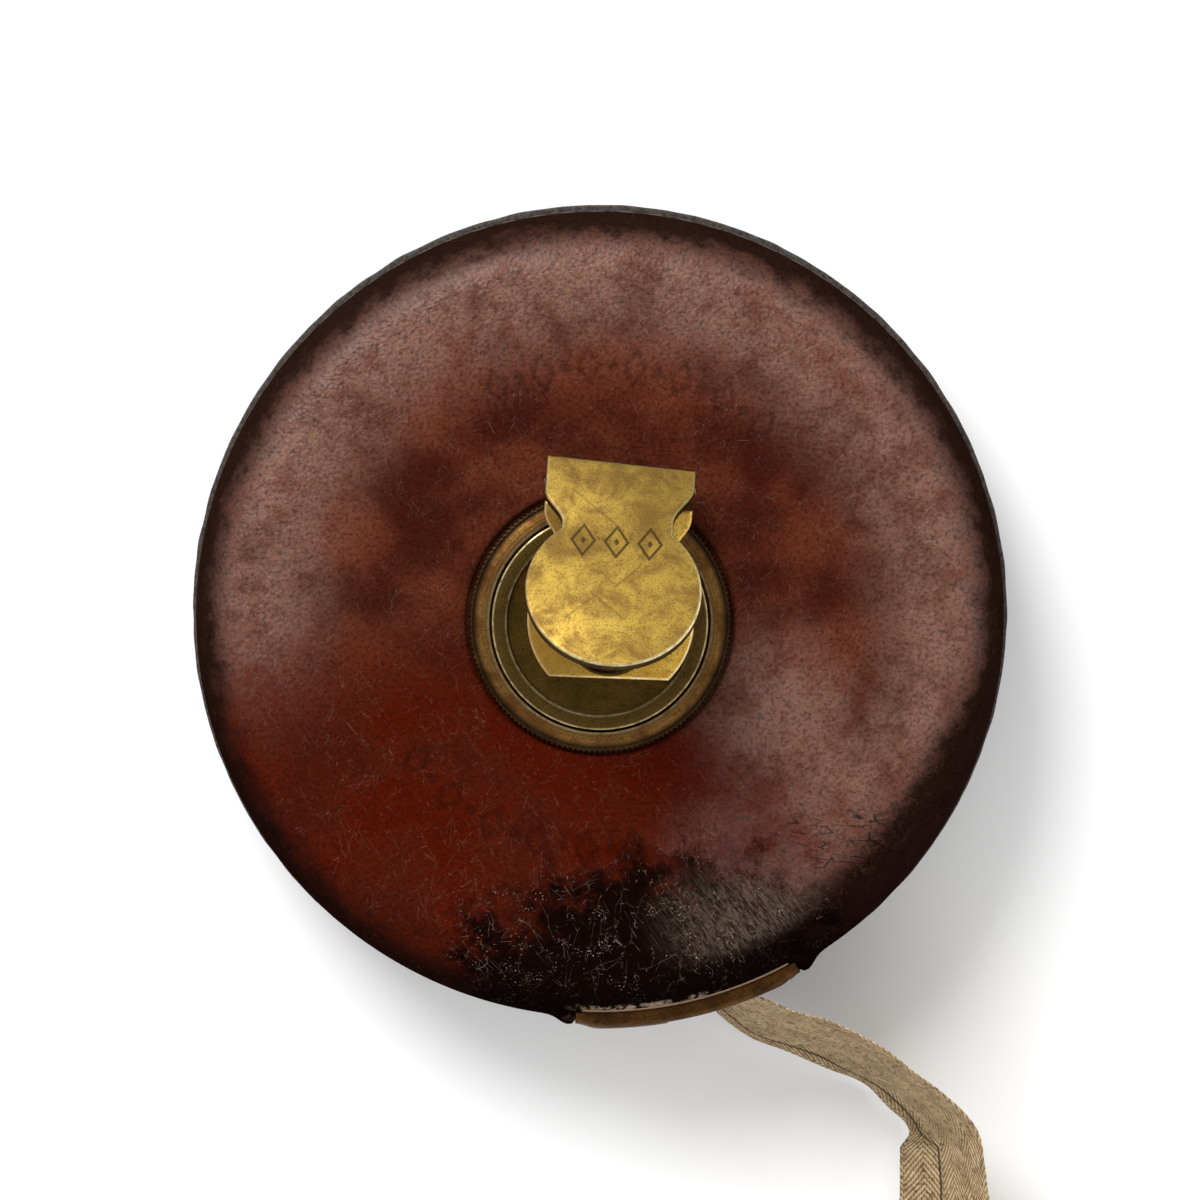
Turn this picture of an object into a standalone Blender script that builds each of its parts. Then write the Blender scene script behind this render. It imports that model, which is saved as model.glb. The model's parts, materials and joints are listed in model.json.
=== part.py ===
"""Surveyor's tape reel: a linen tape on a drum inside a round moulded leather case.

Metres, +Z up. The case lies on its back face at z = 0 and the drum turns about the Z axis. The
brass winding handle is hinged on the hub in the middle of the front face and stands part open.
The tape leaves through a brass mouth on the rim, just to the right of -Y.
"""

import math

import bmesh
import bpy
from mathutils import Matrix, Vector
from mathutils.geometry import tessellate_polygon

# ---- driving dimensions ----------------------------------------------------------------------
CASE_THICKNESS = 0.0215
CASE_RADIUS = 0.0402
WELT_RADIUS = 0.0410
WALL = 0.0022
SHOULDER = (0.0062, 0.0065)  # radial and axial reach of the rounded shoulder
INNER_SHOULDER = (0.0042, 0.0041)
WELT_THICKNESS = 0.0012
THREAD = 0.0005
THREAD_CLEARANCE = 0.0002  # between the thread and the leather
THREAD_STOP = 4.0  # degrees from the last stitch to the mouth's rivets
SEAM_OFFSET = 0.0025  # from the middle of the case to each row of thread
GAP = 0.0003  # clearance between neighbouring pieces

TAPE_WIDTH = 0.0160
TAPE_THICKNESS = 0.00028
TAPE_LENGTH = 10.0
TAPE_OUTSIDE = 0.15  # tape that is not on the coil
DRUM_RADIUS = 0.0144

MOUTH_ANGLE = 13.0  # degrees from -Y towards +X
MOUTH_HALF_SPAN = 16.5
MOUTH_CLEARANCE = 0.7  # degrees between the plate's ends and the leather
MOUTH_CUT_RADIUS = 0.0350  # how deep the leather is cut away behind the mouth
MOUTH_LEVELS = (0.0024, 0.0191)  # bottom and top of the slot and of the cut in the leather
PLATE_RADII = (0.0393, 0.0411)  # inner face, outer face of the mouth plate
PLATE_LEVELS = (0.0019, 0.0196)
SLOT_SPAN = (9.5, 27.8)  # degrees from -Y
FLANGE_RADII = (0.0369, 0.0377)  # ears of the mouth plate behind the leather
FLANGE_LEVELS = (0.0054, 0.0161)
FLANGE_SPAN = 7.0
WEB_SPAN = 1.2
RIVET_ANGLES = (-7.0, 33.0)
RIVET_OFFSET = 0.0033  # above and below the middle of the case
RIVET_SHANK = 0.0005
RIVET_HEAD = 0.0011
FAR_OUTSIDE = 0.0460  # beyond every piece of the case, for cutters

BUSH_RADIUS = 0.0114  # brass bushes that pass through the leather
FLANGE_RADIUS = 0.0130
FRONT_SEAT = 0.0005  # how deep the front bush sits in the leather
BACK_SEAT = 0.0015
BUSH_DEPTH = 0.0032  # both bushes, from the outer face of the leather
BACKING_RADIUS = 0.0132
BACKING_THICKNESS = 0.0008
HUB_RADIUS = 0.0106
HUB_RECESS_RADIUS = 0.0091
HUB_RECESS_FLOOR = CASE_THICKNESS + 0.0002
HUB_UNDERSIDE = CASE_THICKNESS - 0.0005
HUB_SEAT = HUB_UNDERSIDE - GAP  # the bush's ledge under the hub disc
SOCKET_RADIUS = 0.0052
SOCKET_FLOOR = 0.0190
CUP_RADIUS = 0.0069
CUP_UNDERSIDE = 0.0178
SPINDLE_RADIUS = 0.0065
SPINDLE_TOP = CUP_UNDERSIDE - GAP
JOURNAL_RADIUS = 0.0040
JOURNAL_END = 0.0018
DRUM_RIM = 0.0136  # inner radius of the drum's raised edges
DRUM_LEVELS = (0.0043, 0.0172)
DRUM_RIM_LEVELS = (0.0030, 0.0185)
WASHER_RADIUS = 0.0108
WASHER_THICKNESS = 0.0005
SCREW_RADIUS = 0.0011
SCREW_HEAD = 0.0024
SCREW_END = 0.0120  # floor of the screw's hole in the spindle
DOWEL_REACH = 0.0036  # from the drum's axis to the drive dowel
DOWEL_END = 0.0150
DOWEL_RADIUS = 0.0005
CROSS_PIN_RADIUS = 0.0006
CROSS_PIN_HEIGHT = 0.0090
FACE_RING_TOP = CASE_THICKNESS + 0.0007

HANDLE_YAW = -4.0  # degrees that the winding handle points away from +Y
HANDLE_SHIFT = 0.0010  # how far the handle sits to the right of the hub's axis
PIN_REACH = 0.01357  # hub axis to hinge pin
PIN_HEIGHT = 0.0247
PIN_RADIUS = 0.00045
HANDLE_LIFT = 35.0  # degrees above the folded position
LEAF_REACH = 0.0131  # hinge pin to the centre of each leaf's disc
TAIL = 0.0072  # half width at the hinge, both leaves
HANDLE_DISC = 0.0084
HANDLE_NECK = 0.00535
HANDLE_FLANKS = ((0.0012, 0.0052), (0.0025, 0.0060))  # right and left: where each narrows, from the pin
HANDLE_UNDERSIDE = 0.0013  # above the pin's axis when folded
HANDLE_TOP = 0.0025
TAIL_END = 0.00115  # how far the tail reaches past the pin
TAIL_SKEW = 0.00035
EAR = (0.00615, 0.00715)
EAR_RADIUS = 0.0014
PIN_HALF_LENGTH = 0.00735
STUD_RADIUS = 0.0010
STUD_END = 0.0040  # below the pin's axis when folded
BASE_DISC = 0.00815
BASE_NECK = 0.0055
BASE_FLANK = (0.0028, 0.0066)
BASE_START = 0.0019  # hinge pin to the hinge end of the base leaf
BASE_DEPTH = 0.0022
BASE_FLAT = 0.0188  # hinge pin to the flat end of the base leaf
BASE_FLAT_TURN = 2.0  # degrees that the flat end is out of square
FOOT_RADIUS = 0.0076
FOOT_DEPTH = 0.0005
BARREL = 0.0058  # half length of the base leaf's barrel
BARREL_RADIUS = 0.0010
BASE_RIVET = (0.0056, 0.00967)  # to each side, and from the pin
SOCKET_REACH = 0.01432  # hinge pin to the knob and its socket
SOCKET_HOLE_RADIUS = 0.00425
KNOB_RADIUS = 0.0028
KNOB_DEPTH = 0.0041  # below the pin's axis when folded

END_RIVET_REACH = 0.0032  # from the end of the tape back to the clip's rivet
END_RIVET_RADIUS = 0.0005
CLIP_HALF_THICKNESS = 0.0010
CLIP_BARREL = (-0.0040, 0.0009)  # along the tape and above it
CLIP_BARREL_RADIUS = 0.0019
RING_BORE = 0.0012
RING_WIRE = 0.0008
RING_TILT = 4.5  # degrees, so that the loop rests on the ground

MIDDLE = CASE_THICKNESS / 2
COIL_RADIUS = math.sqrt(
    (DRUM_RADIUS + GAP) ** 2 + (TAPE_LENGTH - TAPE_OUTSIDE) * TAPE_THICKNESS / math.pi
)

# Centreline of the free tape: x, y, z and how far its top edge leans over, in degrees.
TAPE_ROUTE = [
    (0.0094, -0.0378, 0.01075, 7),
    (0.0131, -0.0393, 0.01070, 14),
    (0.0167, -0.0412, 0.0104, 20),
    (0.0205, -0.0428, 0.0098, 21),
    (0.0250, -0.0447, 0.0090, 20),
    (0.0293, -0.0473, 0.0082, 20),
    (0.0330, -0.0503, 0.00785, 19),
    (0.0357, -0.0541, 0.00775, 21),
    (0.0365, -0.0590, 0.0076, 25),
    (0.0368, -0.0650, 0.0073, 29),
    (0.0376, -0.0730, 0.0066, 37),
    (0.0386, -0.0820, 0.0054, 50),
    (0.0394, -0.0920, 0.0035, 66),
    (0.0398, -0.1020, 0.0019, 80),
    (0.0400, -0.1120, 0.00125, 90),
    (0.0400, -0.1260, 0.0011, 90),
    (0.0400, -0.1400, 0.0011, 90),
]

ROUND = 48  # sides of the large turned pieces
FINE_ROUND = 120
SMALL_ROUND = 24
PIN_SIDES = 12


# ---- scene and mesh helpers ------------------------------------------------------------------
def clear_scene():
    for obj in list(bpy.data.objects):
        bpy.data.objects.remove(obj, do_unlink=True)


def material(name, colour, roughness, metallic):
    mat = bpy.data.materials.new(name)
    mat.use_nodes = True
    shader = mat.node_tree.nodes["Principled BSDF"]
    shader.inputs["Base Color"].default_value = (*colour, 1.0)
    shader.inputs["Roughness"].default_value = roughness
    shader.inputs["Metallic"].default_value = metallic
    mat.diffuse_color = (*colour, 1.0)
    return mat


def empty(name, location, rotation=(0.0, 0.0, 0.0), parent=None):
    obj = bpy.data.objects.new(name, None)
    obj.location = location
    obj.rotation_euler = rotation
    obj.parent = parent
    bpy.context.scene.collection.objects.link(obj)
    return obj


def piece(name, bm, mat, parent=None, location=(0.0, 0.0, 0.0), rotation=(0.0, 0.0, 0.0)):
    """Turn a closed bmesh into a named object with smooth shading and one material."""
    bmesh.ops.recalc_face_normals(bm, faces=bm.faces)
    mesh = bpy.data.meshes.new(name)
    bm.to_mesh(mesh)
    bm.free()
    mesh.shade_smooth()
    mesh.set_sharp_from_angle(angle=math.radians(35))
    if mat:
        mesh.materials.append(mat)
    obj = bpy.data.objects.new(name, mesh)
    obj.parent = parent
    obj.location = location
    obj.rotation_euler = rotation
    bpy.context.scene.collection.objects.link(obj)
    return obj


def boolean(obj, bm, operation, location=(0.0, 0.0, 0.0), rotation=(0.0, 0.0, 0.0)):
    """Cut or join a hidden helper solid, placed in the same parent frame as the object."""
    tool = piece(f"tool_{len(bpy.data.objects):03d}", bm, None, obj.parent, location, rotation)
    tool.hide_render = True
    tool.display_type = "WIRE"
    modifier = obj.modifiers.new(tool.name, "BOOLEAN")
    modifier.operation = operation
    modifier.solver = "EXACT"
    modifier.object = tool


def turned(profile, sides=ROUND, span=None):
    """Revolve a closed (radius, height) profile about Z; span is (start, end) in degrees from -Y."""
    bm = bmesh.new()
    start, end = span if span else (0.0, 360.0)
    steps = max(2, round(sides * (end - start) / 360.0))
    rings = []
    for step in range(steps + (span is not None)):
        angle = math.radians(start + (end - start) * step / steps - 90.0)
        loop = []
        for index, (radius, height) in enumerate(profile):
            if radius == 0.0 and rings:
                loop.append(rings[0][index])
                continue
            loop.append(bm.verts.new((radius * math.cos(angle), radius * math.sin(angle), height)))
        rings.append(loop)
    pairs = list(zip(rings, rings[1:]))
    if span is None:
        pairs.append((rings[-1], rings[0]))
    count = len(profile)
    for here, there in pairs:
        for index in range(count):
            after = (index + 1) % count
            corners = []
            for vert in (here[index], there[index], there[after], here[after]):
                if vert not in corners:
                    corners.append(vert)
            if len(corners) > 2:
                bm.faces.new(corners)
    if span is not None:
        bm.faces.new(rings[0])
        bm.faces.new(rings[-1])
    return bm


def rod(radius, low, high, sides=PIN_SIDES, axis="Z"):
    """A cylinder along Z or X, from low to high."""
    bm = turned([(0.0, low), (radius, low), (radius, high), (0.0, high)], sides)
    if axis == "X":
        turn = Matrix.Rotation(math.pi / 2, 3, "Y")
        bmesh.ops.rotate(bm, cent=(0, 0, 0), matrix=turn, verts=bm.verts)
    return bm


def ring(inner, outer, low, high, sides=ROUND, span=None):
    return turned([(inner, low), (outer, low), (outer, high), (inner, high)], sides, span)


def box(low, high):
    bm = bmesh.new()
    bmesh.ops.create_cube(bm, size=1.0)
    for vert in bm.verts:
        vert.co = [a + (b - a) * (c + 0.5) for a, b, c in zip(low, high, vert.co)]
    return bm


def slab(outline, low, high):
    """Extrude an outline from low to high along Z."""
    bm = bmesh.new()
    triangles = tessellate_polygon([[Vector((x, y, 0.0)) for x, y in outline]])
    bottom = [bm.verts.new((x, y, low)) for x, y in outline]
    top = [bm.verts.new((x, y, high)) for x, y in outline]
    for layer in (bottom, top):
        for a, b, c in triangles:
            bm.faces.new((layer[a], layer[b], layer[c]))
    for index in range(len(outline)):
        after = (index + 1) % len(outline)
        bm.faces.new((bottom[index], bottom[after], top[after], top[index]))
    return bm


def arc(centre, radius, start, end, steps):
    """Points of an arc in degrees, both ends included."""
    points = []
    for step in range(steps + 1):
        angle = math.radians(start + (end - start) * step / steps)
        points.append((centre[0] + radius * math.cos(angle), centre[1] + radius * math.sin(angle)))
    return points


# ---- leather case ----------------------------------------------------------------------------
def shell_profile():
    """Section of the front shell; the back shell is its mirror image."""
    top = CASE_THICKNESS
    rim = MIDDLE + WELT_THICKNESS / 2 + GAP
    bush = BUSH_RADIUS + GAP
    recess = FLANGE_RADIUS + GAP
    outer = [
        (CASE_RADIUS - SHOULDER[0] + x, top - SHOULDER[1] + y)
        for x, y in ellipse_quarter(*SHOULDER, 5)
    ]
    inner = [
        (CASE_RADIUS - WALL - INNER_SHOULDER[0] + x, top - WALL - INNER_SHOULDER[1] + y)
        for x, y in ellipse_quarter(*INNER_SHOULDER, 3)
    ]
    seat = top - FRONT_SEAT
    face = [(bush, top - WALL), (bush, seat), (recess, seat), (recess, top)]
    walls = [(CASE_RADIUS, rim), (CASE_RADIUS - WALL, rim)]
    return face + outer + walls + inner[::-1]


def ellipse_quarter(across, up, steps):
    """From straight up to straight out."""
    points = []
    for step in range(steps + 1):
        angle = math.pi / 2 * step / steps
        points.append((across * math.sin(angle), up * math.cos(angle)))
    return points


def back_shell_profile():
    """The back shell carries a deeper recess, so that its brass plate lies flush."""
    profile = [(radius, CASE_THICKNESS - height) for radius, height in shell_profile()]
    for corner in (1, 2):
        profile[corner] = (profile[corner][0], BACK_SEAT)
    return profile


def mouth_span(extra):
    return (MOUTH_ANGLE - MOUTH_HALF_SPAN - extra, MOUTH_ANGLE + MOUTH_HALF_SPAN + extra)


def rim_turn(angle):
    """Rotation that points the Z axis outwards at an angle in degrees from -Y."""
    return (0.0, math.pi / 2, math.radians(angle - 90.0))


def add_case(leather, welt, thread):
    shells = (("front_cover", shell_profile(), 1), ("back_cover", back_shell_profile(), -1))
    opening = mouth_span(MOUTH_CLEARANCE)
    for name, profile, side in shells:
        shell = piece(name, turned(profile, ROUND), leather)
        cut = ring(MOUTH_CUT_RADIUS, FAR_OUTSIDE, *MOUTH_LEVELS, ROUND, opening)
        boolean(shell, cut, "DIFFERENCE")
        place = (0.0, 0.0, MIDDLE + side * RIVET_OFFSET)
        for angle in RIVET_ANGLES:
            hole = rod(RIVET_SHANK + GAP, MOUTH_CUT_RADIUS, FAR_OUTSIDE)
            boolean(shell, hole, "DIFFERENCE", place, rim_turn(angle))
            countersink = rod(RIVET_HEAD + GAP, CASE_RADIUS - RIVET_HEAD, FAR_OUTSIDE)
            boolean(shell, countersink, "DIFFERENCE", place, rim_turn(angle))
    half = WELT_THICKNESS / 2
    around = (opening[1], opening[0] + 360.0)
    inner = CASE_RADIUS - WALL
    strip = ring(inner, WELT_RADIUS, MIDDLE - half, MIDDLE + half, ROUND, around)
    piece("rim_welt", strip, welt)
    add_seam_thread("front_seam_thread", MIDDLE + SEAM_OFFSET, thread)
    add_seam_thread("back_seam_thread", MIDDLE - SEAM_OFFSET, thread)


def add_seam_thread(name, height, thread):
    """One row of stitches as a plain ring that stops short of the mouth's rivets."""
    span = (RIVET_ANGLES[1] + THREAD_STOP, RIVET_ANGLES[0] - THREAD_STOP + 360.0)
    inner = CASE_RADIUS + THREAD_CLEARANCE
    half = THREAD / 2
    piece(name, ring(inner, inner + THREAD, height - half, height + half, ROUND, span), thread)


def mouth_plate_profile():
    """Section of the mouth plate, its outer corners rounded off."""
    inner, outer = PLATE_RADII
    low, high = PLATE_LEVELS
    corner = [(0.0009, 0.0), (0.0002, 0.0015), (0.0, 0.0041)]  # back from the outer face, and inwards
    below = [(outer - back, low + up) for back, up in corner]
    above = [(outer - back, high - down) for back, down in corner[::-1]]
    return [(inner, low), *below, *above, (inner, high)]


def add_mouth(brass):
    span = mouth_span(0.0)
    plate = piece("mouth_plate", turned(mouth_plate_profile(), FINE_ROUND, span), brass)
    slot = ring(MOUTH_CUT_RADIUS, FAR_OUTSIDE, *MOUTH_LEVELS, FINE_ROUND, SLOT_SPAN)
    boolean(plate, slot, "DIFFERENCE")
    low, high = FLANGE_LEVELS
    for end, outwards in ((span[0], -1), (span[1], 1)):
        web = sorted((end - 0.02 * outwards, end - WEB_SPAN * outwards))
        web_outer = PLATE_RADII[0] + 0.0008
        boolean(plate, ring(FLANGE_RADII[0], web_outer, low, high, FINE_ROUND, web), "UNION")
        flange = sorted((end - WEB_SPAN / 2 * outwards, end + FLANGE_SPAN * outwards))
        inset = 0.0002
        ear = ring(*FLANGE_RADII, low + inset, high - inset, FINE_ROUND, flange)
        boolean(plate, ear, "UNION")
    number = 0
    for angle in RIVET_ANGLES:
        for side in (1, -1):
            number += 1
            place = (0.0, 0.0, MIDDLE + side * RIVET_OFFSET)
            hole = rod(RIVET_SHANK + GAP, MOUTH_CUT_RADIUS, FLANGE_RADII[1] + 0.0008)
            boolean(plate, hole, "DIFFERENCE", place, rim_turn(angle))
            add_mouth_rivet(f"mouth_rivet_{number}", place, rim_turn(angle), brass)


def add_mouth_rivet(name, place, turn, brass):
    """Countersunk rivet; its Z axis points out of the rim and its head lies almost flush."""
    seat = CASE_RADIUS - 0.0008
    profile = [
        (0.0, FLANGE_RADII[0] - 0.0005),
        (RIVET_SHANK, FLANGE_RADII[0] - 0.0005),
        (RIVET_SHANK, seat),
        (RIVET_HEAD, seat),
        (RIVET_HEAD, CASE_RADIUS - 0.0003),
        (RIVET_HEAD * 0.6, CASE_RADIUS),
        (0.0, CASE_RADIUS + 0.0001),
    ]
    piece(name, turned(profile, PIN_SIDES), brass, None, place, turn)


# ---- hub and drum ----------------------------------------------------------------------------
def add_bushes(brass):
    """The front and back brass bushes, each clamped to the leather by a ring on its inner side."""
    top = CASE_THICKNESS
    bore = HUB_RADIUS + GAP
    front = [
        (FLANGE_RADIUS, top - FRONT_SEAT + GAP),
        (FLANGE_RADIUS, top + 0.00025),
        (FLANGE_RADIUS - 0.0004, top + 0.0004),
        (FLANGE_RADIUS - 0.0012, top + 0.0006),
        (bore + 0.00015, FACE_RING_TOP),
        (bore, FACE_RING_TOP - 0.00015),
        (bore, HUB_SEAT),
        (CUP_RADIUS + GAP, HUB_SEAT),
        (CUP_RADIUS + GAP, top - BUSH_DEPTH),
        (BUSH_RADIUS, top - BUSH_DEPTH),
        (BUSH_RADIUS, top - FRONT_SEAT + GAP),
    ]
    piece("front_escutcheon", turned(front), brass)
    plate = BACK_SEAT - GAP
    back = [
        (0.0, 0.0),
        (FLANGE_RADIUS, 0.0),
        (FLANGE_RADIUS, plate),
        (BUSH_RADIUS, plate),
        (BUSH_RADIUS, BUSH_DEPTH),
        (JOURNAL_RADIUS + GAP, BUSH_DEPTH),
        (JOURNAL_RADIUS + GAP, JOURNAL_END - GAP),
        (0.0, JOURNAL_END - GAP),
    ]
    piece("back_escutcheon", turned(back), brass)
    inner = BUSH_RADIUS + GAP
    clamp = WALL + GAP  # from the outer face of the leather to the near side of each ring
    for name, low in (
        ("front_backing_ring", top - clamp - BACKING_THICKNESS),
        ("back_backing_ring", clamp),
    ):
        piece(name, ring(inner, BACKING_RADIUS, low, low + BACKING_THICKNESS), brass)


def add_spool(spool, brass, steel, wood, fibre, linen):
    add_hub(spool, brass, steel)
    add_spindle(spool, steel)
    add_drum(spool, steel, wood)
    low = DRUM_RIM_LEVELS[0] + WASHER_THICKNESS
    back = ring(JOURNAL_RADIUS + GAP, WASHER_RADIUS, low, low + WASHER_THICKNESS, SMALL_ROUND)
    piece("back_washer", back, fibre, spool)
    low = DRUM_LEVELS[1] + GAP
    front = ring(CUP_RADIUS + GAP, WASHER_RADIUS, low, low + WASHER_THICKNESS, SMALL_ROUND)
    piece("front_washer", front, fibre, spool)
    half = TAPE_WIDTH / 2
    coil = ring(DRUM_RADIUS + GAP, COIL_RADIUS, MIDDLE - half, MIDDLE + half)
    piece("tape_coil", coil, linen, spool)


def add_hub(spool, brass, steel):
    """Turned hub disc with its socket for the knob, and the screw on the socket's floor."""
    bore = SCREW_RADIUS + GAP
    chamfer = 0.00015
    profile = [
        (bore, SOCKET_FLOOR),
        (SOCKET_RADIUS, SOCKET_FLOOR),
        (SOCKET_RADIUS, HUB_RECESS_FLOOR),
        (HUB_RECESS_RADIUS, HUB_RECESS_FLOOR),
        (HUB_RECESS_RADIUS, FACE_RING_TOP - chamfer),
        (HUB_RECESS_RADIUS + chamfer, FACE_RING_TOP),
        (HUB_RADIUS - chamfer, FACE_RING_TOP),
        (HUB_RADIUS, FACE_RING_TOP - chamfer),
        (HUB_RADIUS, HUB_UNDERSIDE),
        (CUP_RADIUS, HUB_UNDERSIDE),
        (CUP_RADIUS, CUP_UNDERSIDE),
        (bore, CUP_UNDERSIDE),
    ]
    disc = piece("hub_disc", turned(profile), brass, spool)
    dowel_hole = rod(DOWEL_RADIUS + GAP, CUP_UNDERSIDE - 0.001, SOCKET_FLOOR + 0.001)
    boolean(disc, dowel_hole, "DIFFERENCE", (DOWEL_REACH, 0.0, 0.0))
    head = SOCKET_FLOOR + GAP
    screw = [
        (0.0, SCREW_END + GAP),
        (SCREW_RADIUS, SCREW_END + GAP),
        (SCREW_RADIUS, head),
        (SCREW_HEAD, head),
        (SCREW_HEAD, head + 0.0004),
        (SCREW_HEAD - 0.0006, head + 0.0008),
        (0.0, head + 0.0009),
    ]
    bolt = piece("hub_screw", turned(screw, SMALL_ROUND), steel, spool)
    slot = box((-0.0030, -0.0003, head + 0.0005), (0.0030, 0.0003, head + 0.0020))
    boolean(bolt, slot, "DIFFERENCE")


def add_spindle(spool, steel):
    low = DRUM_LEVELS[0]
    bore = SCREW_RADIUS + GAP
    profile = [
        (0.0, JOURNAL_END),
        (JOURNAL_RADIUS, JOURNAL_END),
        (JOURNAL_RADIUS, low),
        (SPINDLE_RADIUS, low),
        (SPINDLE_RADIUS, SPINDLE_TOP),
        (bore, SPINDLE_TOP),
        (bore, SCREW_END),
        (0.0, SCREW_END),
    ]
    shaft = piece("spindle", turned(profile, SMALL_ROUND), steel, spool)
    place = (DOWEL_REACH, 0.0, 0.0)
    hole = rod(DOWEL_RADIUS + GAP, DOWEL_END, SPINDLE_TOP + 0.001)
    boolean(shaft, hole, "DIFFERENCE", place)
    dowel = rod(DOWEL_RADIUS, DOWEL_END + GAP, SOCKET_FLOOR - 0.0001)
    piece("drive_dowel", dowel, steel, spool, place)
    cross_hole = rod(CROSS_PIN_RADIUS + GAP, -DRUM_RADIUS, DRUM_RADIUS, PIN_SIDES, "X")
    boolean(shaft, cross_hole, "DIFFERENCE", (0.0, 0.0, CROSS_PIN_HEIGHT))


def add_drum(spool, steel, wood):
    """Wooden drum with a raised rim at both ends, its cross pin and the pin that holds the tape."""
    bore = SPINDLE_RADIUS + GAP
    low, high = DRUM_LEVELS
    rim_low, rim_high = DRUM_RIM_LEVELS
    profile = [
        (bore, low),
        (DRUM_RIM, low),
        (DRUM_RIM, rim_low),
        (DRUM_RADIUS, rim_low),
        (DRUM_RADIUS, rim_high),
        (DRUM_RIM, rim_high),
        (DRUM_RIM, high),
        (bore, high),
    ]
    drum = piece("drum", turned(profile, 36), wood, spool)
    cross = (0.0, 0.0, CROSS_PIN_HEIGHT)
    reach = DRUM_RADIUS + 0.002
    hole = rod(CROSS_PIN_RADIUS + GAP, -reach, reach, PIN_SIDES, "X")
    boolean(drum, hole, "DIFFERENCE", cross)
    pin = rod(CROSS_PIN_RADIUS, -DRUM_RIM, DRUM_RIM, PIN_SIDES, "X")
    piece("drum_pin", pin, steel, spool, cross)
    groove = rod(0.0010, rim_low - 0.001, rim_high + 0.001)
    boolean(drum, groove, "DIFFERENCE", (0.0, DRUM_RADIUS - 0.0002, 0.0))
    anchor = rod(0.0005, rim_low + 0.0004, rim_high - 0.0004)
    piece("tape_anchor_pin", anchor, steel, spool, (0.0, DRUM_RADIUS - 0.0005, 0.0))


# ---- winding handle --------------------------------------------------------------------------
def leaf_flank(neck, start, end, steps=8):
    """One side of a leaf from the tail's width to the neck's, with the pin along X at y = 0."""
    points = []
    for step in range(steps + 1):
        ease = 0.5 + 0.5 * math.cos(math.pi * step / steps)
        points.append((neck + (TAIL - neck) * ease, -start - (end - start) * step / steps))
    return points


def leaf_outline(tail, disc, neck, flanks):
    """Keyhole outline: the tail's right and left end, two flanks and the disc."""
    right = leaf_flank(neck, *flanks[0])
    left = [(-x, y) for x, y in leaf_flank(neck, *flanks[1])[::-1]]
    meet = math.degrees(math.asin(neck / disc))
    round_end = arc((0.0, -LEAF_REACH), disc, 90.0 - meet, -270.0 + meet, 40)
    return ([(-TAIL, tail[1]), (TAIL, tail[0])] + right + round_end + left)[::-1]


def add_handle_base(frame, brass):
    """Base leaf, seen from the hinge pin's frame: it is riveted to the hub disc."""
    outline = leaf_outline((-BASE_START, -BASE_START), BASE_DISC, BASE_NECK, (BASE_FLANK, BASE_FLANK))
    base = piece("handle_base", slab(outline, -BASE_DEPTH, 0.0), brass, frame)
    bar = box((-BARREL, -BASE_START - 0.0005, -0.0009), (BARREL, -0.0002, -0.0001))
    boolean(base, bar, "UNION")
    boolean(base, rod(BARREL_RADIUS, -BARREL, BARREL, PIN_SIDES, "X"), "UNION")
    boolean(base, hinge_bore(), "DIFFERENCE")
    round_foot = arc((0.0, 0.0), FOOT_RADIUS, 0.0, 352.5, 47)
    foot = slab(round_foot, -BASE_DEPTH - FOOT_DEPTH, -BASE_DEPTH + FOOT_DEPTH)
    boolean(base, foot, "UNION", (0.0, -LEAF_REACH, 0.0))
    trim = box((-0.0120, -0.0060, -0.0040), (0.0120, 0.0, 0.0010))
    turn = (0.0, 0.0, math.radians(BASE_FLAT_TURN))
    boolean(base, trim, "DIFFERENCE", (0.0, -BASE_FLAT, 0.0), turn)
    hole = rod(SOCKET_HOLE_RADIUS, -0.0050, 0.0010, 40)
    boolean(base, hole, "DIFFERENCE", (0.0, -SOCKET_REACH, 0.0))
    for name, side in (("base_rivet_left", -1), ("base_rivet_right", 1)):
        place = (side * BASE_RIVET[0], -BASE_RIVET[1], 0.0)
        boolean(base, rod(RIVET_SHANK + GAP, -0.0040, 0.0010), "DIFFERENCE", place)
        boolean(base, rod(RIVET_HEAD + GAP, -0.0009, 0.0010), "DIFFERENCE", place)
        tip = HUB_UNDERSIDE + GAP - PIN_HEIGHT
        profile = [
            (0.0, tip),
            (RIVET_SHANK, tip),
            (RIVET_SHANK, -0.0006),
            (RIVET_HEAD, -0.0006),
            (RIVET_HEAD, -0.0001),
            (0.0, 0.0),
        ]
        piece(name, turned(profile, PIN_SIDES), brass, frame, place)


def hinge_bore():
    return rod(PIN_RADIUS + 0.0002, -0.0090, 0.0090, PIN_SIDES, "X")


def cut_rivet_holes(disc, frame):
    """Holes in the hub disc under the base leaf's rivets, which stand in the hinge pin's frame."""
    for side in (-1, 1):
        place = frame.matrix_basis @ Vector((side * BASE_RIVET[0], -BASE_RIVET[1], 0.0))
        hole = rod(RIVET_SHANK + GAP, -0.0045, -0.0020)
        boolean(disc, hole, "DIFFERENCE", place, frame.rotation_euler)


def ear_outline():
    """Side view of an ear, as (along the leaf, up from the pin)."""
    top = HANDLE_UNDERSIDE + 0.0004
    back = TAIL_END - TAIL_SKEW
    below = arc((0.0, 0.0), EAR_RADIUS, 180.0, 360.0, 10)
    return [(back, top), (-EAR_RADIUS, top), *below, (back, HANDLE_UNDERSIDE - 0.0003)]


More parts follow.
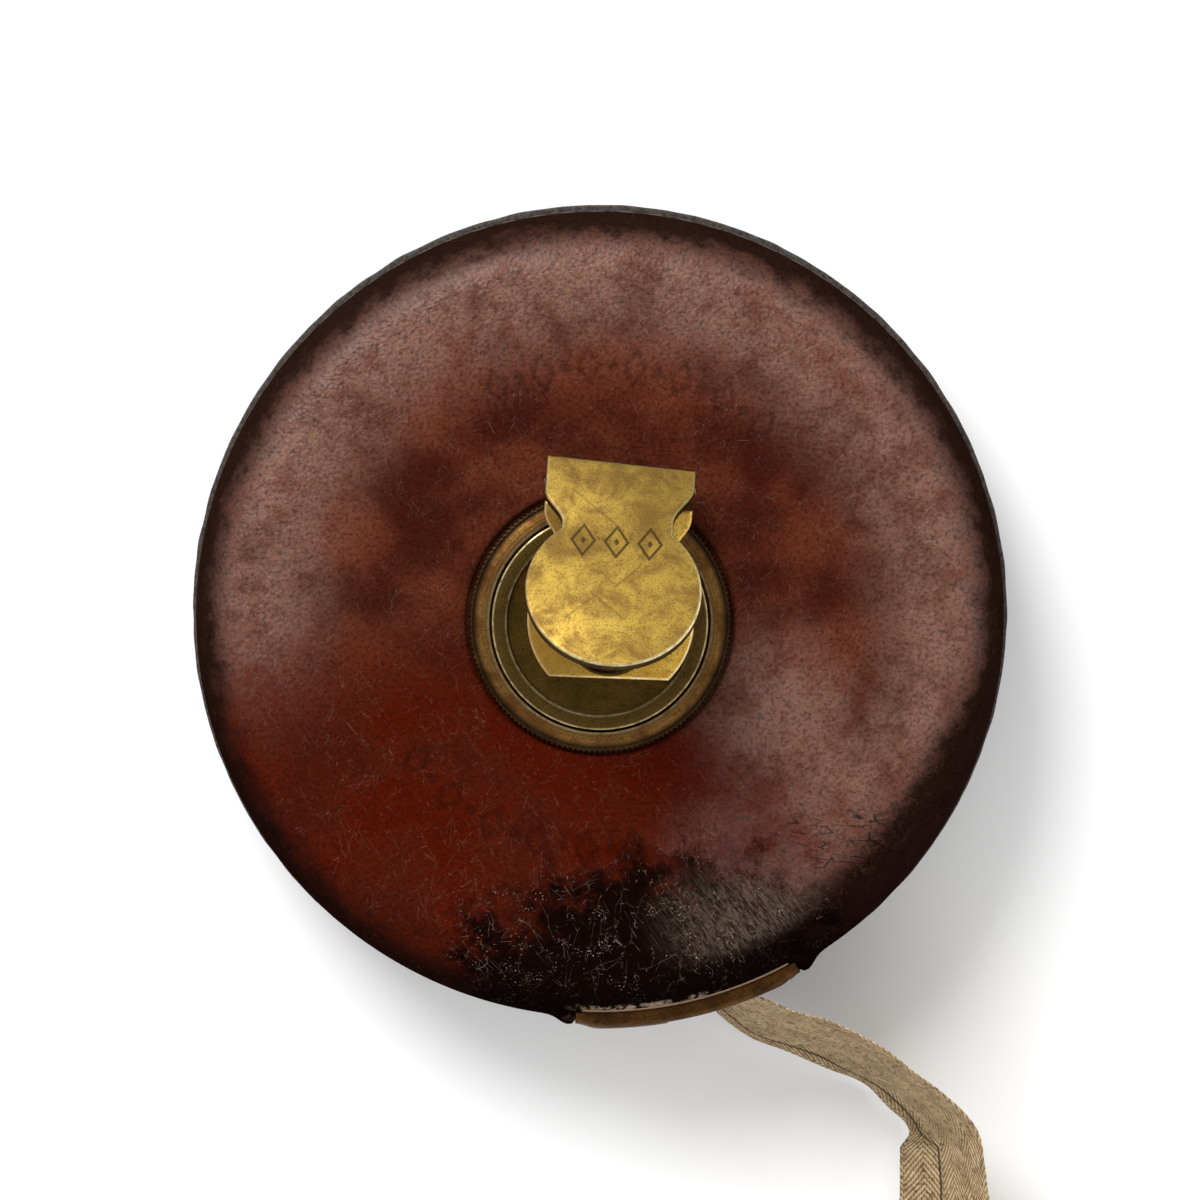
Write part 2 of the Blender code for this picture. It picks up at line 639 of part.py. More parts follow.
def add_ear(handle, side):
    """An ear bent down from the tail of the leaf, around the hinge pin."""
    ear = slab(ear_outline(), *EAR)
    # the slab's axes (along, up, thickness) become the leaf's (Y, Z, X)
    upright = Matrix(((0, 0, 1), (1, 0, 0), (0, 1, 0))).to_4x4()
    bmesh.ops.transform(ear, matrix=upright, verts=ear.verts)
    if side < 0:
        bmesh.ops.translate(ear, vec=(-(EAR[0] + EAR[1]), 0.0, 0.0), verts=ear.verts)
    boolean(handle, ear, "UNION")


def add_handle(hinge, brass, steel):
    tail = (TAIL_END - TAIL_SKEW, TAIL_END + TAIL_SKEW)
    outline = leaf_outline(tail, HANDLE_DISC, HANDLE_NECK, HANDLE_FLANKS)
    handle = piece("handle_plate", slab(outline, HANDLE_UNDERSIDE, HANDLE_TOP), brass, hinge)
    for side in (-1, 1):
        add_ear(handle, side)
    stud_place = (0.0, -SOCKET_REACH, 0.0)
    boolean(handle, rod(STUD_RADIUS, -STUD_END, HANDLE_UNDERSIDE + 0.0003), "UNION", stud_place)
    boolean(handle, hinge_bore(), "DIFFERENCE")
    pin = rod(PIN_RADIUS, -PIN_HALF_LENGTH, PIN_HALF_LENGTH, PIN_SIDES, "X")
    piece("hinge_pin", pin, steel, hinge)
    keeper = ring(STUD_RADIUS + 0.0002, STUD_RADIUS + 0.0006, -0.0039, -0.0035, SMALL_ROUND)
    piece("knob_keeper", keeper, brass, hinge, stud_place)


def add_knob(axis, brass):
    """Turned knob under the leaf; it runs on the leaf's stud."""
    bore = STUD_RADIUS + 0.00025
    keeper_room = 0.0019
    profile = [
        (bore, HANDLE_UNDERSIDE - GAP),
        (0.0020, HANDLE_UNDERSIDE - GAP),
        (0.0022, HANDLE_UNDERSIDE - 0.0005),
        (0.0022, HANDLE_UNDERSIDE - 0.0009),
        (0.0018, HANDLE_UNDERSIDE - 0.0013),
        (0.0018, HANDLE_UNDERSIDE - 0.0018),
        (0.0023, -0.0012),
        (KNOB_RADIUS, -0.0020),
        (KNOB_RADIUS, -0.0029),
        (0.0026, -0.0037),
        (0.0023, -KNOB_DEPTH),
        (keeper_room, -KNOB_DEPTH),
        (keeper_room, -0.0032),
        (bore, -0.0032),
    ]
    piece("winding_knob", turned(profile, SMALL_ROUND), brass, axis)


# ---- tape ------------------------------------------------------------------------------------
def smooth_route(route, per_span=3):
    """Catmull-Rom curve through the route's points, in all four values."""
    padded = [route[0], *route, route[-1]]
    points = []
    for index in range(1, len(padded) - 2):
        p0, p1, p2, p3 = padded[index - 1 : index + 3]
        for step in range(per_span):
            t = step / per_span
            values = []
            for a, b, c, d in zip(p0, p1, p2, p3):
                bend = (2 * a - 5 * b + 4 * c - d) * t * t + (3 * b - a - 3 * c + d) * t**3
                values.append(0.5 * (2 * b + (c - a) * t + bend))
            points.append(values)
    points.append(list(route[-1]))
    return points


def ribbon(points, width, thickness):
    """Closed flat strip along points of (x, y, z, lean in degrees)."""
    bm = bmesh.new()
    sections = []
    for index, (x, y, z, lean) in enumerate(points):
        before = points[max(index - 1, 0)]
        after = points[min(index + 1, len(points) - 1)]
        along = Vector((after[0] - before[0], after[1] - before[1], 0.0)).normalized()
        left = Vector((-along.y, along.x, 0.0))
        tilt = math.radians(lean)
        across = (Vector((0.0, 0.0, math.cos(tilt))) + left * math.sin(tilt)) * width / 2
        normal = along.cross(across).normalized() * thickness / 2
        centre = Vector((x, y, z))
        corners = [across + normal, across - normal, -across - normal, -across + normal]
        sections.append([bm.verts.new(centre + corner) for corner in corners])
    # Both wide sides are split along the same diagonal, so that a twisted stretch stays one
    # thickness throughout: the side from corner 0 to 3 faces the side from corner 1 to 2.
    for here, there in zip(sections, sections[1:]):
        for a, b in ((0, 3), (1, 2)):
            bm.faces.new((here[a], here[b], there[b]))
            bm.faces.new((here[a], there[b], there[a]))
        for a, b in ((0, 1), (2, 3)):
            bm.faces.new((here[a], here[b], there[b], there[a]))
    bm.faces.new(sections[0])
    bm.faces.new(sections[-1])
    return bm


def add_tape(linen):
    """The free tape, and the stretch inside the case that leads from the coil to the mouth."""
    strip = ribbon(smooth_route(TAPE_ROUTE), TAPE_WIDTH, TAPE_THICKNESS)
    free = piece("tape_free_end", strip, linen)
    x, y, z, _ = TAPE_ROUTE[-1]
    hole = rod(END_RIVET_RADIUS + GAP, -0.0010, 0.0010)
    boolean(free, hole, "DIFFERENCE", (x, y + END_RIVET_REACH, z))
    mouth = Vector(TAPE_ROUTE[0][:2])
    clear = COIL_RADIUS + GAP + TAPE_THICKNESS / 2
    turn = math.atan2(mouth.y, mouth.x) - math.acos(clear / mouth.length)
    start = Vector((math.cos(turn), math.sin(turn))) * clear
    end = mouth - (mouth - start).normalized() * GAP
    lead = [(start.x, start.y, MIDDLE, 0.0), (end.x, end.y, MIDDLE, TAPE_ROUTE[0][3])]
    piece("tape_lead", ribbon(lead, TAPE_WIDTH, TAPE_THICKNESS), linen)


def add_tape_end(end, ring_axis, brass):
    """Folded clip on the end of the tape; -Y points away from the tape."""
    half = TAPE_WIDTH / 2 + 0.0006
    thick = CLIP_HALF_THICKNESS
    clip = piece("tape_end_clip", box((-half, -0.0010, -thick), (half, 0.0065, thick)), brass, end)
    neck = box((-0.0058, -0.0042, -thick + 0.0001), (0.0058, -0.0006, thick - 0.0001))
    boolean(clip, neck, "UNION")
    fold = TAPE_THICKNESS / 2 + GAP
    boolean(clip, box((-0.0100, -0.0004, -fold), (0.0100, 0.0080, fold)), "DIFFERENCE")
    barrel = (0.0, *CLIP_BARREL)
    boolean(clip, rod(CLIP_BARREL_RADIUS, -0.0060, 0.0060, PIN_SIDES, "X"), "UNION", barrel)
    boolean(clip, rod(RING_BORE, -0.0200, 0.0200, PIN_SIDES, "X"), "DIFFERENCE", barrel)
    place = (0.0, END_RIVET_REACH, 0.0)
    boolean(clip, rod(END_RIVET_RADIUS + GAP, -0.0020, 0.0020), "DIFFERENCE", place)
    add_end_rivet(place, end, brass)
    add_end_ring(ring_axis, brass)


def add_end_rivet(place, end, brass):
    head = CLIP_HALF_THICKNESS + 0.0002
    profile = [
        (0.0, -CLIP_HALF_THICKNESS),
        (END_RIVET_RADIUS, -CLIP_HALF_THICKNESS),
        (END_RIVET_RADIUS, head),
        (0.0013, head + 0.0001),
        (0.0011, head + 0.0005),
        (0.0, head + 0.0007),
    ]
    piece("tape_end_rivet", turned(profile, PIN_SIDES), brass, end, place)


def add_end_ring(ring_axis, brass):
    """Bent wire loop through the barrel of the clip."""
    wire = end_ring_path()
    curve = bpy.data.curves.new("tape_end_ring", "CURVE")
    curve.dimensions = "3D"
    curve.bevel_depth = RING_WIRE
    curve.bevel_resolution = 2
    spline = curve.splines.new("POLY")
    spline.points.add(len(wire) - 1)
    for point, (x, y) in zip(spline.points, wire):
        point.co = (x, y, 0.0, 1.0)
    spline.use_cyclic_u = True
    curve.materials.append(brass)
    loop = bpy.data.objects.new("tape_end_ring", curve)
    loop.parent = ring_axis
    bpy.context.scene.collection.objects.link(loop)


def end_ring_path(half=0.0085, depth=0.0140, corner=0.0022):
    """D-shaped loop: a straight bar along X at y = 0 and a round end towards -Y."""
    bar = [(-half + corner, 0.0), (0.0, 0.0), (half - corner, 0.0)]
    right = arc((half - corner, -corner), corner, 60.0, 0.0, 3)
    bow = arc((0.0, -depth + half), half, 0.0, -180.0, 16)
    left = arc((-half + corner, -corner), corner, 180.0, 120.0, 3)
    return bar + right + bow + left


# ---- assembly --------------------------------------------------------------------------------
def main():
    clear_scene()
    leather = material("leather", (0.17, 0.045, 0.030), 0.45, 0.0)
    welt = material("welt_leather", (0.10, 0.075, 0.06), 0.7, 0.0)
    thread = material("waxed_thread", (0.22, 0.16, 0.09), 0.7, 0.0)
    brass = material("aged_brass", (0.42, 0.30, 0.11), 0.35, 1.0)
    steel = material("steel", (0.45, 0.44, 0.42), 0.35, 1.0)
    wood = material("drum_wood", (0.45, 0.28, 0.13), 0.55, 0.0)
    fibre = material("washer_fibre", (0.30, 0.09, 0.05), 0.7, 0.0)
    linen = material("linen_tape", (0.40, 0.34, 0.18), 0.85, 0.0)

    spool = empty("spool_axis", (0.0, 0.0, 0.0))
    yaw = math.radians(HANDLE_YAW)
    shift = Vector((HANDLE_SHIFT, PIN_REACH, 0.0))
    shift.rotate(Matrix.Rotation(yaw, 3, "Z"))
    pin = empty("pin_frame", (shift.x, shift.y, PIN_HEIGHT), (0.0, 0.0, yaw), spool)
    hinge = empty("handle_hinge", (0.0, 0.0, 0.0), (-math.radians(HANDLE_LIFT), 0.0, 0.0), pin)
    knob_axis = empty("knob_axis", (0.0, -SOCKET_REACH, 0.0), (0.0, 0.0, 0.0), hinge)
    end = empty("tape_end", TAPE_ROUTE[-1][:3])
    tilt = (math.radians(RING_TILT), 0.0, 0.0)
    ring_axis = empty("end_ring_axis", (0.0, *CLIP_BARREL), tilt, end)

    add_case(leather, welt, thread)
    add_mouth(brass)
    add_bushes(brass)
    add_spool(spool, brass, steel, wood, fibre, linen)
    add_handle_base(pin, brass)
    cut_rivet_holes(bpy.data.objects["hub_disc"], pin)
    add_handle(hinge, brass, steel)
    add_knob(knob_axis, brass)
    add_tape(linen)
    add_tape_end(end, ring_axis, brass)


main()
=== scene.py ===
"""Looks of the surveyor's tape reel: leather case, brass hub and handle, linen tape.

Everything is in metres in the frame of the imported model: +Z is the drum's axis, the case lies on
z = 0, and the tape mouth is near -Y.
"""

import json
import math

import bmesh
import bpy
import numpy as np
from mathutils import Matrix, Vector, noise
from mathutils.geometry import tessellate_polygon


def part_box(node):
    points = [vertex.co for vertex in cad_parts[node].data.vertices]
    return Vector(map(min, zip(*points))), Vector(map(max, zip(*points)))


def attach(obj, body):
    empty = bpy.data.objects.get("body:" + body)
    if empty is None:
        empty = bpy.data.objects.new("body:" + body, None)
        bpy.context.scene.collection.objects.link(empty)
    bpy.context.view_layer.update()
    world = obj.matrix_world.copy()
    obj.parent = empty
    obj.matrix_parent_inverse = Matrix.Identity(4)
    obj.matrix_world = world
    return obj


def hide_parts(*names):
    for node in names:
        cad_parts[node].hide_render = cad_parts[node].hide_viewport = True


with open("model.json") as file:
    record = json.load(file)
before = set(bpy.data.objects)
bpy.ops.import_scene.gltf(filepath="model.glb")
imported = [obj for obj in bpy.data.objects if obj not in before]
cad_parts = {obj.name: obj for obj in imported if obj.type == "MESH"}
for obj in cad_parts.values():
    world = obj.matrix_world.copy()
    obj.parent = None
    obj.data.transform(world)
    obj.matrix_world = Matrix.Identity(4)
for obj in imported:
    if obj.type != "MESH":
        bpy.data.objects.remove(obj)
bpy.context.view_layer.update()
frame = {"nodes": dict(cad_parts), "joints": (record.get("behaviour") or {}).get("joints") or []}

MM = 0.001
TO_MM = 1.0 / MM

# ---- sizes read from the frame ---------------------------------------------------------------
SHELL_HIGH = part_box("front_cover")[1]
FACE = SHELL_HIGH.z  # the front face of the leather
CASE_RADIUS = SHELL_HIGH.x
SEAM = FACE / 2
WELT_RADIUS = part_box("rim_welt")[1].x
BUSH_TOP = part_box("front_escutcheon")[1].z
FLANGE_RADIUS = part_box("front_escutcheon")[1].x
HUB_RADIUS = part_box("hub_disc")[1].x
HUB_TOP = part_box("hub_disc")[1].z
JOINT = {joint["name"]: joint for joint in frame["joints"]}
PIN = Vector(JOINT["handle_fold"]["pos_m"])
RING_PIVOT = Vector(JOINT["end_ring_flip"]["pos_m"])

# ---- sizes shared with the CAD source --------------------------------------------------------
WALL = 2.2 * MM
SHOULDER = (6.2 * MM, 6.5 * MM)
MOUTH_ANGLE = 13.0  # degrees from -Y towards +X
MOUTH_HALF_SPAN = 16.5
SLOT_SPAN = (9.5, 27.8)
SLOT_LEVELS = (2.4 * MM, 19.1 * MM)
PLATE_LEVELS = (1.9 * MM, 19.6 * MM)
HANDLE_YAW = math.radians(-4.0)
HANDLE_LIFT = math.radians(35.0)
LEAF_REACH = 13.1 * MM
TAIL = 7.2 * MM
HANDLE_DISC = 8.4 * MM
HANDLE_NECK = 5.35 * MM
HANDLE_FLANKS = ((1.2 * MM, 5.2 * MM), (2.5 * MM, 6.0 * MM))
UNDERSIDE = 1.3 * MM
LEAF_TOP = 2.5 * MM
TAIL_END = 1.15 * MM
TAIL_SKEW = 0.35 * MM
BASE_DISC = 8.15 * MM
BASE_NECK = 5.5 * MM
BASE_FLANK = (2.8 * MM, 6.6 * MM)
BASE_START = 1.9 * MM
BASE_FLAT = 18.8 * MM
BASE_FLAT_TURN = math.radians(2.0)
BASE_RIVET = (5.6 * MM, -9.67 * MM)
SOCKET_REACH = 14.32 * MM
LEAF_SPACING = 0.4 * MM  # between points along a leaf's outline
TAPE_WIDTH = 16.0 * MM
TAPE_THICKNESS = 0.28 * MM

# Centreline of the free tape, as in the CAD source: x, y, z and the lean of its top edge.
TAPE_ROUTE = [
    (0.0094, -0.0378, 0.01075, 7),
    (0.0131, -0.0393, 0.01070, 14),
    (0.0167, -0.0412, 0.0104, 20),
    (0.0205, -0.0428, 0.0098, 21),
    (0.0250, -0.0447, 0.0090, 20),
    (0.0293, -0.0473, 0.0082, 20),
    (0.0330, -0.0503, 0.00785, 19),
    (0.0357, -0.0541, 0.00775, 21),
    (0.0365, -0.0590, 0.0076, 25),
    (0.0368, -0.0650, 0.0073, 29),
    (0.0376, -0.0730, 0.0066, 37),
    (0.0386, -0.0820, 0.0054, 50),
    (0.0394, -0.0920, 0.0035, 66),
    (0.0398, -0.1020, 0.0019, 80),
    (0.0400, -0.1120, 0.00125, 90),
    (0.0400, -0.1260, 0.0011, 90),
    (0.0400, -0.1400, 0.0011, 90),
]

# ---- light and camera ------------------------------------------------------------------------
KEY_POWER = 7.0
KEY_SIZE = 0.42
KEY_PLACE = (-0.32, 0.57, 0.62)
KEY_AIM = (0.0, 0.0, 0.01)
ROOM_LIGHT = (1.24, 0.22)  # towards the sides, and straight above
OVERHEAD = (0.78, 0.97)  # height of a view direction where the room starts and stops dimming
FLOOR_COLOUR = (0.86, 0.86, 0.86)
FLOOR_SIZE = 3.0
FLOOR_GAP = 0.05 * MM  # keeps the floor clear of the leather
FRAME_WIDTH = 120.8 * MM  # how much of the case's middle plane the picture takes in
CAMERA_DISTANCE = 410.0 * MM
CAMERA_TILT = math.radians(4.3)  # away from straight down, towards +Y
AIM_ABOVE_CENTRE = 1.35 * MM


def add_camera():
    data = bpy.data.cameras.new("camera")
    data.lens = data.sensor_width * CAMERA_DISTANCE / FRAME_WIDTH
    camera = bpy.data.objects.new("camera", data)
    bpy.context.scene.collection.objects.link(camera)
    camera.rotation_euler = (-CAMERA_TILT, 0.0, 0.0)
    turn = Matrix.Rotation(-CAMERA_TILT, 3, "X")
    aim = Vector((0.0, 0.0, SEAM)) + turn @ Vector((0.0, AIM_ABOVE_CENTRE, 0.0))
    camera.location = aim + turn @ Vector((0.0, 0.0, CAMERA_DISTANCE))
    bpy.context.scene.camera = camera


def add_key():
    """The key light: a soft disc from the upper left, aimed at the case."""
    data = bpy.data.lights.new("key", "AREA")
    data.shape = "DISK"
    data.size = KEY_SIZE
    data.energy = KEY_POWER
    lamp = bpy.data.objects.new("key", data)
    lamp.location = KEY_PLACE
    direction = Vector(KEY_AIM) - Vector(KEY_PLACE)
    lamp.rotation_euler = direction.to_track_quat("-Z", "Y").to_euler()
    bpy.context.scene.collection.objects.link(lamp)


def add_studio():
    """Pale floor, soft light from the upper left and a pale room that is dimmer straight above."""
    bm = bmesh.new()
    bmesh.ops.create_grid(bm, x_segments=1, y_segments=1, size=FLOOR_SIZE)
    floor = mesh_object("floor", bm, plain_material("floor_paper", FLOOR_COLOUR, 0.9))
    floor.location.z = -FLOOR_GAP
    bpy.context.scene.world = studio_world()
    add_key()


def studio_world():
    world = bpy.data.worlds.new("studio")
    world.use_nodes = True
    nodes = world.node_tree.nodes
    links = world.node_tree.links
    direction = nodes.new("ShaderNodeTexCoord")
    parts = nodes.new("ShaderNodeSeparateXYZ")
    links.new(direction.outputs["Generated"], parts.inputs[0])
    overhead = nodes.new("ShaderNodeMapRange")
    overhead.interpolation_type = "SMOOTHSTEP"
    links.new(parts.outputs["Z"], overhead.inputs["Value"])
    for name, value in zip(("From Min", "From Max", "To Min", "To Max"), (*OVERHEAD, *ROOM_LIGHT)):
        overhead.inputs[name].default_value = value
    background = nodes["Background"]
    background.inputs["Color"].default_value = (1.0, 1.0, 1.0, 1.0)
    links.new(overhead.outputs[0], background.inputs["Strength"])
    return world


# ---- mesh helpers ----------------------------------------------------------------------------
def mesh_object(name, bm, mat, sharp=40.0):
    """Object from a closed bmesh, shaded smooth away from its sharp edges."""
    bmesh.ops.recalc_face_normals(bm, faces=bm.faces)
    mesh = bpy.data.meshes.new(name)
    bm.to_mesh(mesh)
    bm.free()
    mesh.shade_smooth()
    mesh.set_sharp_from_angle(angle=math.radians(sharp))
    if mat:
        mesh.materials.append(mat)
    obj = bpy.data.objects.new(name, mesh)
    bpy.context.scene.collection.objects.link(obj)
    return obj


def settle(obj, body, slot, *nodes):
    """The piece rides on a body and stands for CAD nodes; the slot argument is not used."""
    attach(obj, body)
    if nodes:
        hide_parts(*nodes)
    return obj


def rounded(profile, radius, steps=4):
    """Round every corner of a closed (radius, height) profile that is sharper than 20 degrees."""
    points = []
    count = len(profile)
    for index in range(count):
        here = Vector(profile[index])
        back = Vector(profile[index - 1]) - here
        on = Vector(profile[(index + 1) % count]) - here
        bend = math.pi - back.angle(on)
        on_axis = here.x == 0.0
        if on_axis or bend < math.radians(20):
            points.append(tuple(here))
            continue
        reach = min(radius, 0.45 * back.length, 0.45 * on.length)
        start = here + back.normalized() * reach
        end = here + on.normalized() * reach
        for step in range(steps + 1):
            t = step / steps
            points.append(tuple(start * (1 - t) ** 2 + here * 2 * t * (1 - t) + end * t * t))
    return points


def lathe(profile, sides, ripple=None):
    """Revolve a closed (radius, height) profile; ripple(angle, radius, height) changes a radius."""
    bm = bmesh.new()
    rings = []
    for step in range(sides):
        angle = 2 * math.pi * step / sides
        loop = []
        for index, (radius, height) in enumerate(profile):
            if radius == 0.0 and rings:
                loop.append(rings[0][index])
                continue
            reach = ripple(angle, radius, height) if ripple else radius
            loop.append(bm.verts.new((reach * math.cos(angle), reach * math.sin(angle), height)))
        rings.append(loop)
    count = len(profile)
    for step in range(sides):
        here = rings[step]
        there = rings[(step + 1) % sides]
        for index in range(count):
            after = (index + 1) % count
            corners = []
            for vert in (here[index], there[index], there[after], here[after]):
                if vert not in corners:
                    corners.append(vert)
            if len(corners) > 2:
                bm.faces.new(corners)
    return bm


def sweep(section, start, end, steps):
    """Curved bar between two angles in degrees from -Y; section(share) lists (radius, height)."""
    bm = bmesh.new()
    sections = []
    for step in range(steps + 1):
        share = step / steps
        angle = math.radians(start + (end - start) * share - 90.0)
        loop = [bm.verts.new((r * math.cos(angle), r * math.sin(angle), z)) for r, z in section(share)]
        sections.append(loop)
    join_loops(bm, sections)
    bm.faces.new(sections[0])
    bm.faces.new(sections[-1])
    return bm


def join_loops(bm, loops):
    """Quads between neighbouring closed loops of vertices."""
    size = len(loops[0])
    for here, there in zip(loops, loops[1:]):
        for index in range(size):
            after = (index + 1) % size
            bm.faces.new((here[index], here[after], there[after], there[index]))


def sector(inner, outer, low, high, start, end, steps):
    """Plain curved block between two angles in degrees from -Y."""
    corners = ((inner, low), (outer, low), (outer, high), (inner, high))
    return sweep(lambda share: corners, start, end, steps)


def along_x(bm):
    """The same mesh with its Z axis turned to X."""
    turn = Matrix.Rotation(math.pi / 2, 3, "Y")
    bmesh.ops.rotate(bm, cent=(0, 0, 0), matrix=turn, verts=bm.verts)
    return bm


def cylinder(radius, low, high, sides=32, axis="Z"):
    bm = lathe([(0.0, low), (radius, low), (radius, high), (0.0, high)], sides)
    return along_x(bm) if axis == "X" else bm


def in_mm(profile):
    """A profile given in millimetres, in metres."""
    return [(radius * MM, height * MM) for radius, height in profile]


def beside(radius, height, offsets):
    """Points of a profile at offsets in millimetres from one of its corners."""
    return [(radius + across * MM, height + up * MM) for across, up in offsets]


def fill_end(bm, verts, triangles):
    """Close one end of a bar with the triangles of its outline."""
    for a, b, c in triangles:
        bm.faces.new((verts[a], verts[b], verts[c]))


def add_values(obj, name, values):
    """Give every vertex a number that the materials read."""
    attribute = obj.data.attributes.new(name, "FLOAT", "POINT")
    attribute.data.foreach_set("value", np.array(values, np.float32))


def block(low, high):
    bm = bmesh.new()
    bmesh.ops.create_cube(bm, size=1.0)
    for vert in bm.verts:
        vert.co = [a + (b - a) * (c + 0.5) for a, b, c in zip(low, high, vert.co)]
    return bm


def apply_modifiers(obj):
    """Keep the evaluated mesh and drop the modifiers."""
    graph = bpy.context.evaluated_depsgraph_get()
    mesh = bpy.data.meshes.new_from_object(obj.evaluated_get(graph))
    obj.modifiers.clear()
    old = obj.data
    obj.data = mesh
    bpy.data.meshes.remove(old)


def carve(obj, tools):
    """Boolean tools one after the other: a list of (operation, bmesh, location)."""
    helpers = []
    for operation, bm, location in tools:
        tool = mesh_object("carving_tool", bm, None)
        tool.location = location
        modifier = obj.modifiers.new("carve", "BOOLEAN")
        modifier.operation = operation
        modifier.solver = "EXACT"
        modifier.object = tool
        helpers.append(tool)
    apply_modifiers(obj)
    for tool in helpers:
        bpy.data.objects.remove(tool, do_unlink=True)


def soften(obj, width, segments=2, angle=35.0):
    """Small bevel on the hard edges, applied."""
    modifier = obj.modifiers.new("soften", "BEVEL")
    modifier.width = width
    modifier.segments = segments
    modifier.limit_method = "ANGLE"
    modifier.angle_limit = math.radians(angle)
    apply_modifiers(obj)
    obj.data.shade_smooth()
    obj.data.set_sharp_from_angle(angle=math.radians(50))


def place(obj, matrix):
    """Move a piece's vertices, so that the object itself stays at the origin."""
    obj.data.transform(matrix)
    obj.data.update()


def arc(centre, radius, start, end, steps):
    """Points on a circle between two angles in degrees."""
    points = []
    for step in range(steps + 1):
        angle = math.radians(start + (end - start) * step / steps)
        points.append((centre[0] + radius * math.cos(angle), centre[1] + radius * math.sin(angle)))
    return points


def smoothstep(low, high, value):
    t = min(max((value - low) / (high - low), 0.0), 1.0)
    return t * t * (3 - 2 * t)


# ---- material helpers ------------------------------------------------------------------------
def srgb(code):
    """Linear colour from a six-digit hex code."""
    values = [int(code[i : i + 2], 16) / 255 for i in (0, 2, 4)]
    linear = [v / 12.92 if v <= 0.04045 else ((v + 0.055) / 1.055) ** 2.4 for v in values]
    return (*linear, 1.0)


def plain_material(name, colour, roughness):
    mat = bpy.data.materials.new(name)
    mat.use_nodes = True
    shader = mat.node_tree.nodes["Principled BSDF"]
    shader.inputs["Base Color"].default_value = (*colour, 1.0)
    shader.inputs["Roughness"].default_value = roughness
    return mat


class Value:
    """A node's output that takes part in sums, as in (a - 0.5) * b."""

    def __init__(self, graph, socket):
        self.graph = graph
        self.socket = socket

    def __add__(self, other):
        return self.graph.math("ADD", self, other)

    def __sub__(self, other):
        return self.graph.math("SUBTRACT", self, other)

    def __rsub__(self, other):
        return self.graph.math("SUBTRACT", other, self)

    def __mul__(self, other):
        return self.graph.math("MULTIPLY", self, other)

    def __truediv__(self, other):
        return self.graph.math("DIVIDE", self, other)

    def __abs__(self):
        return self.graph.math("ABSOLUTE", self)


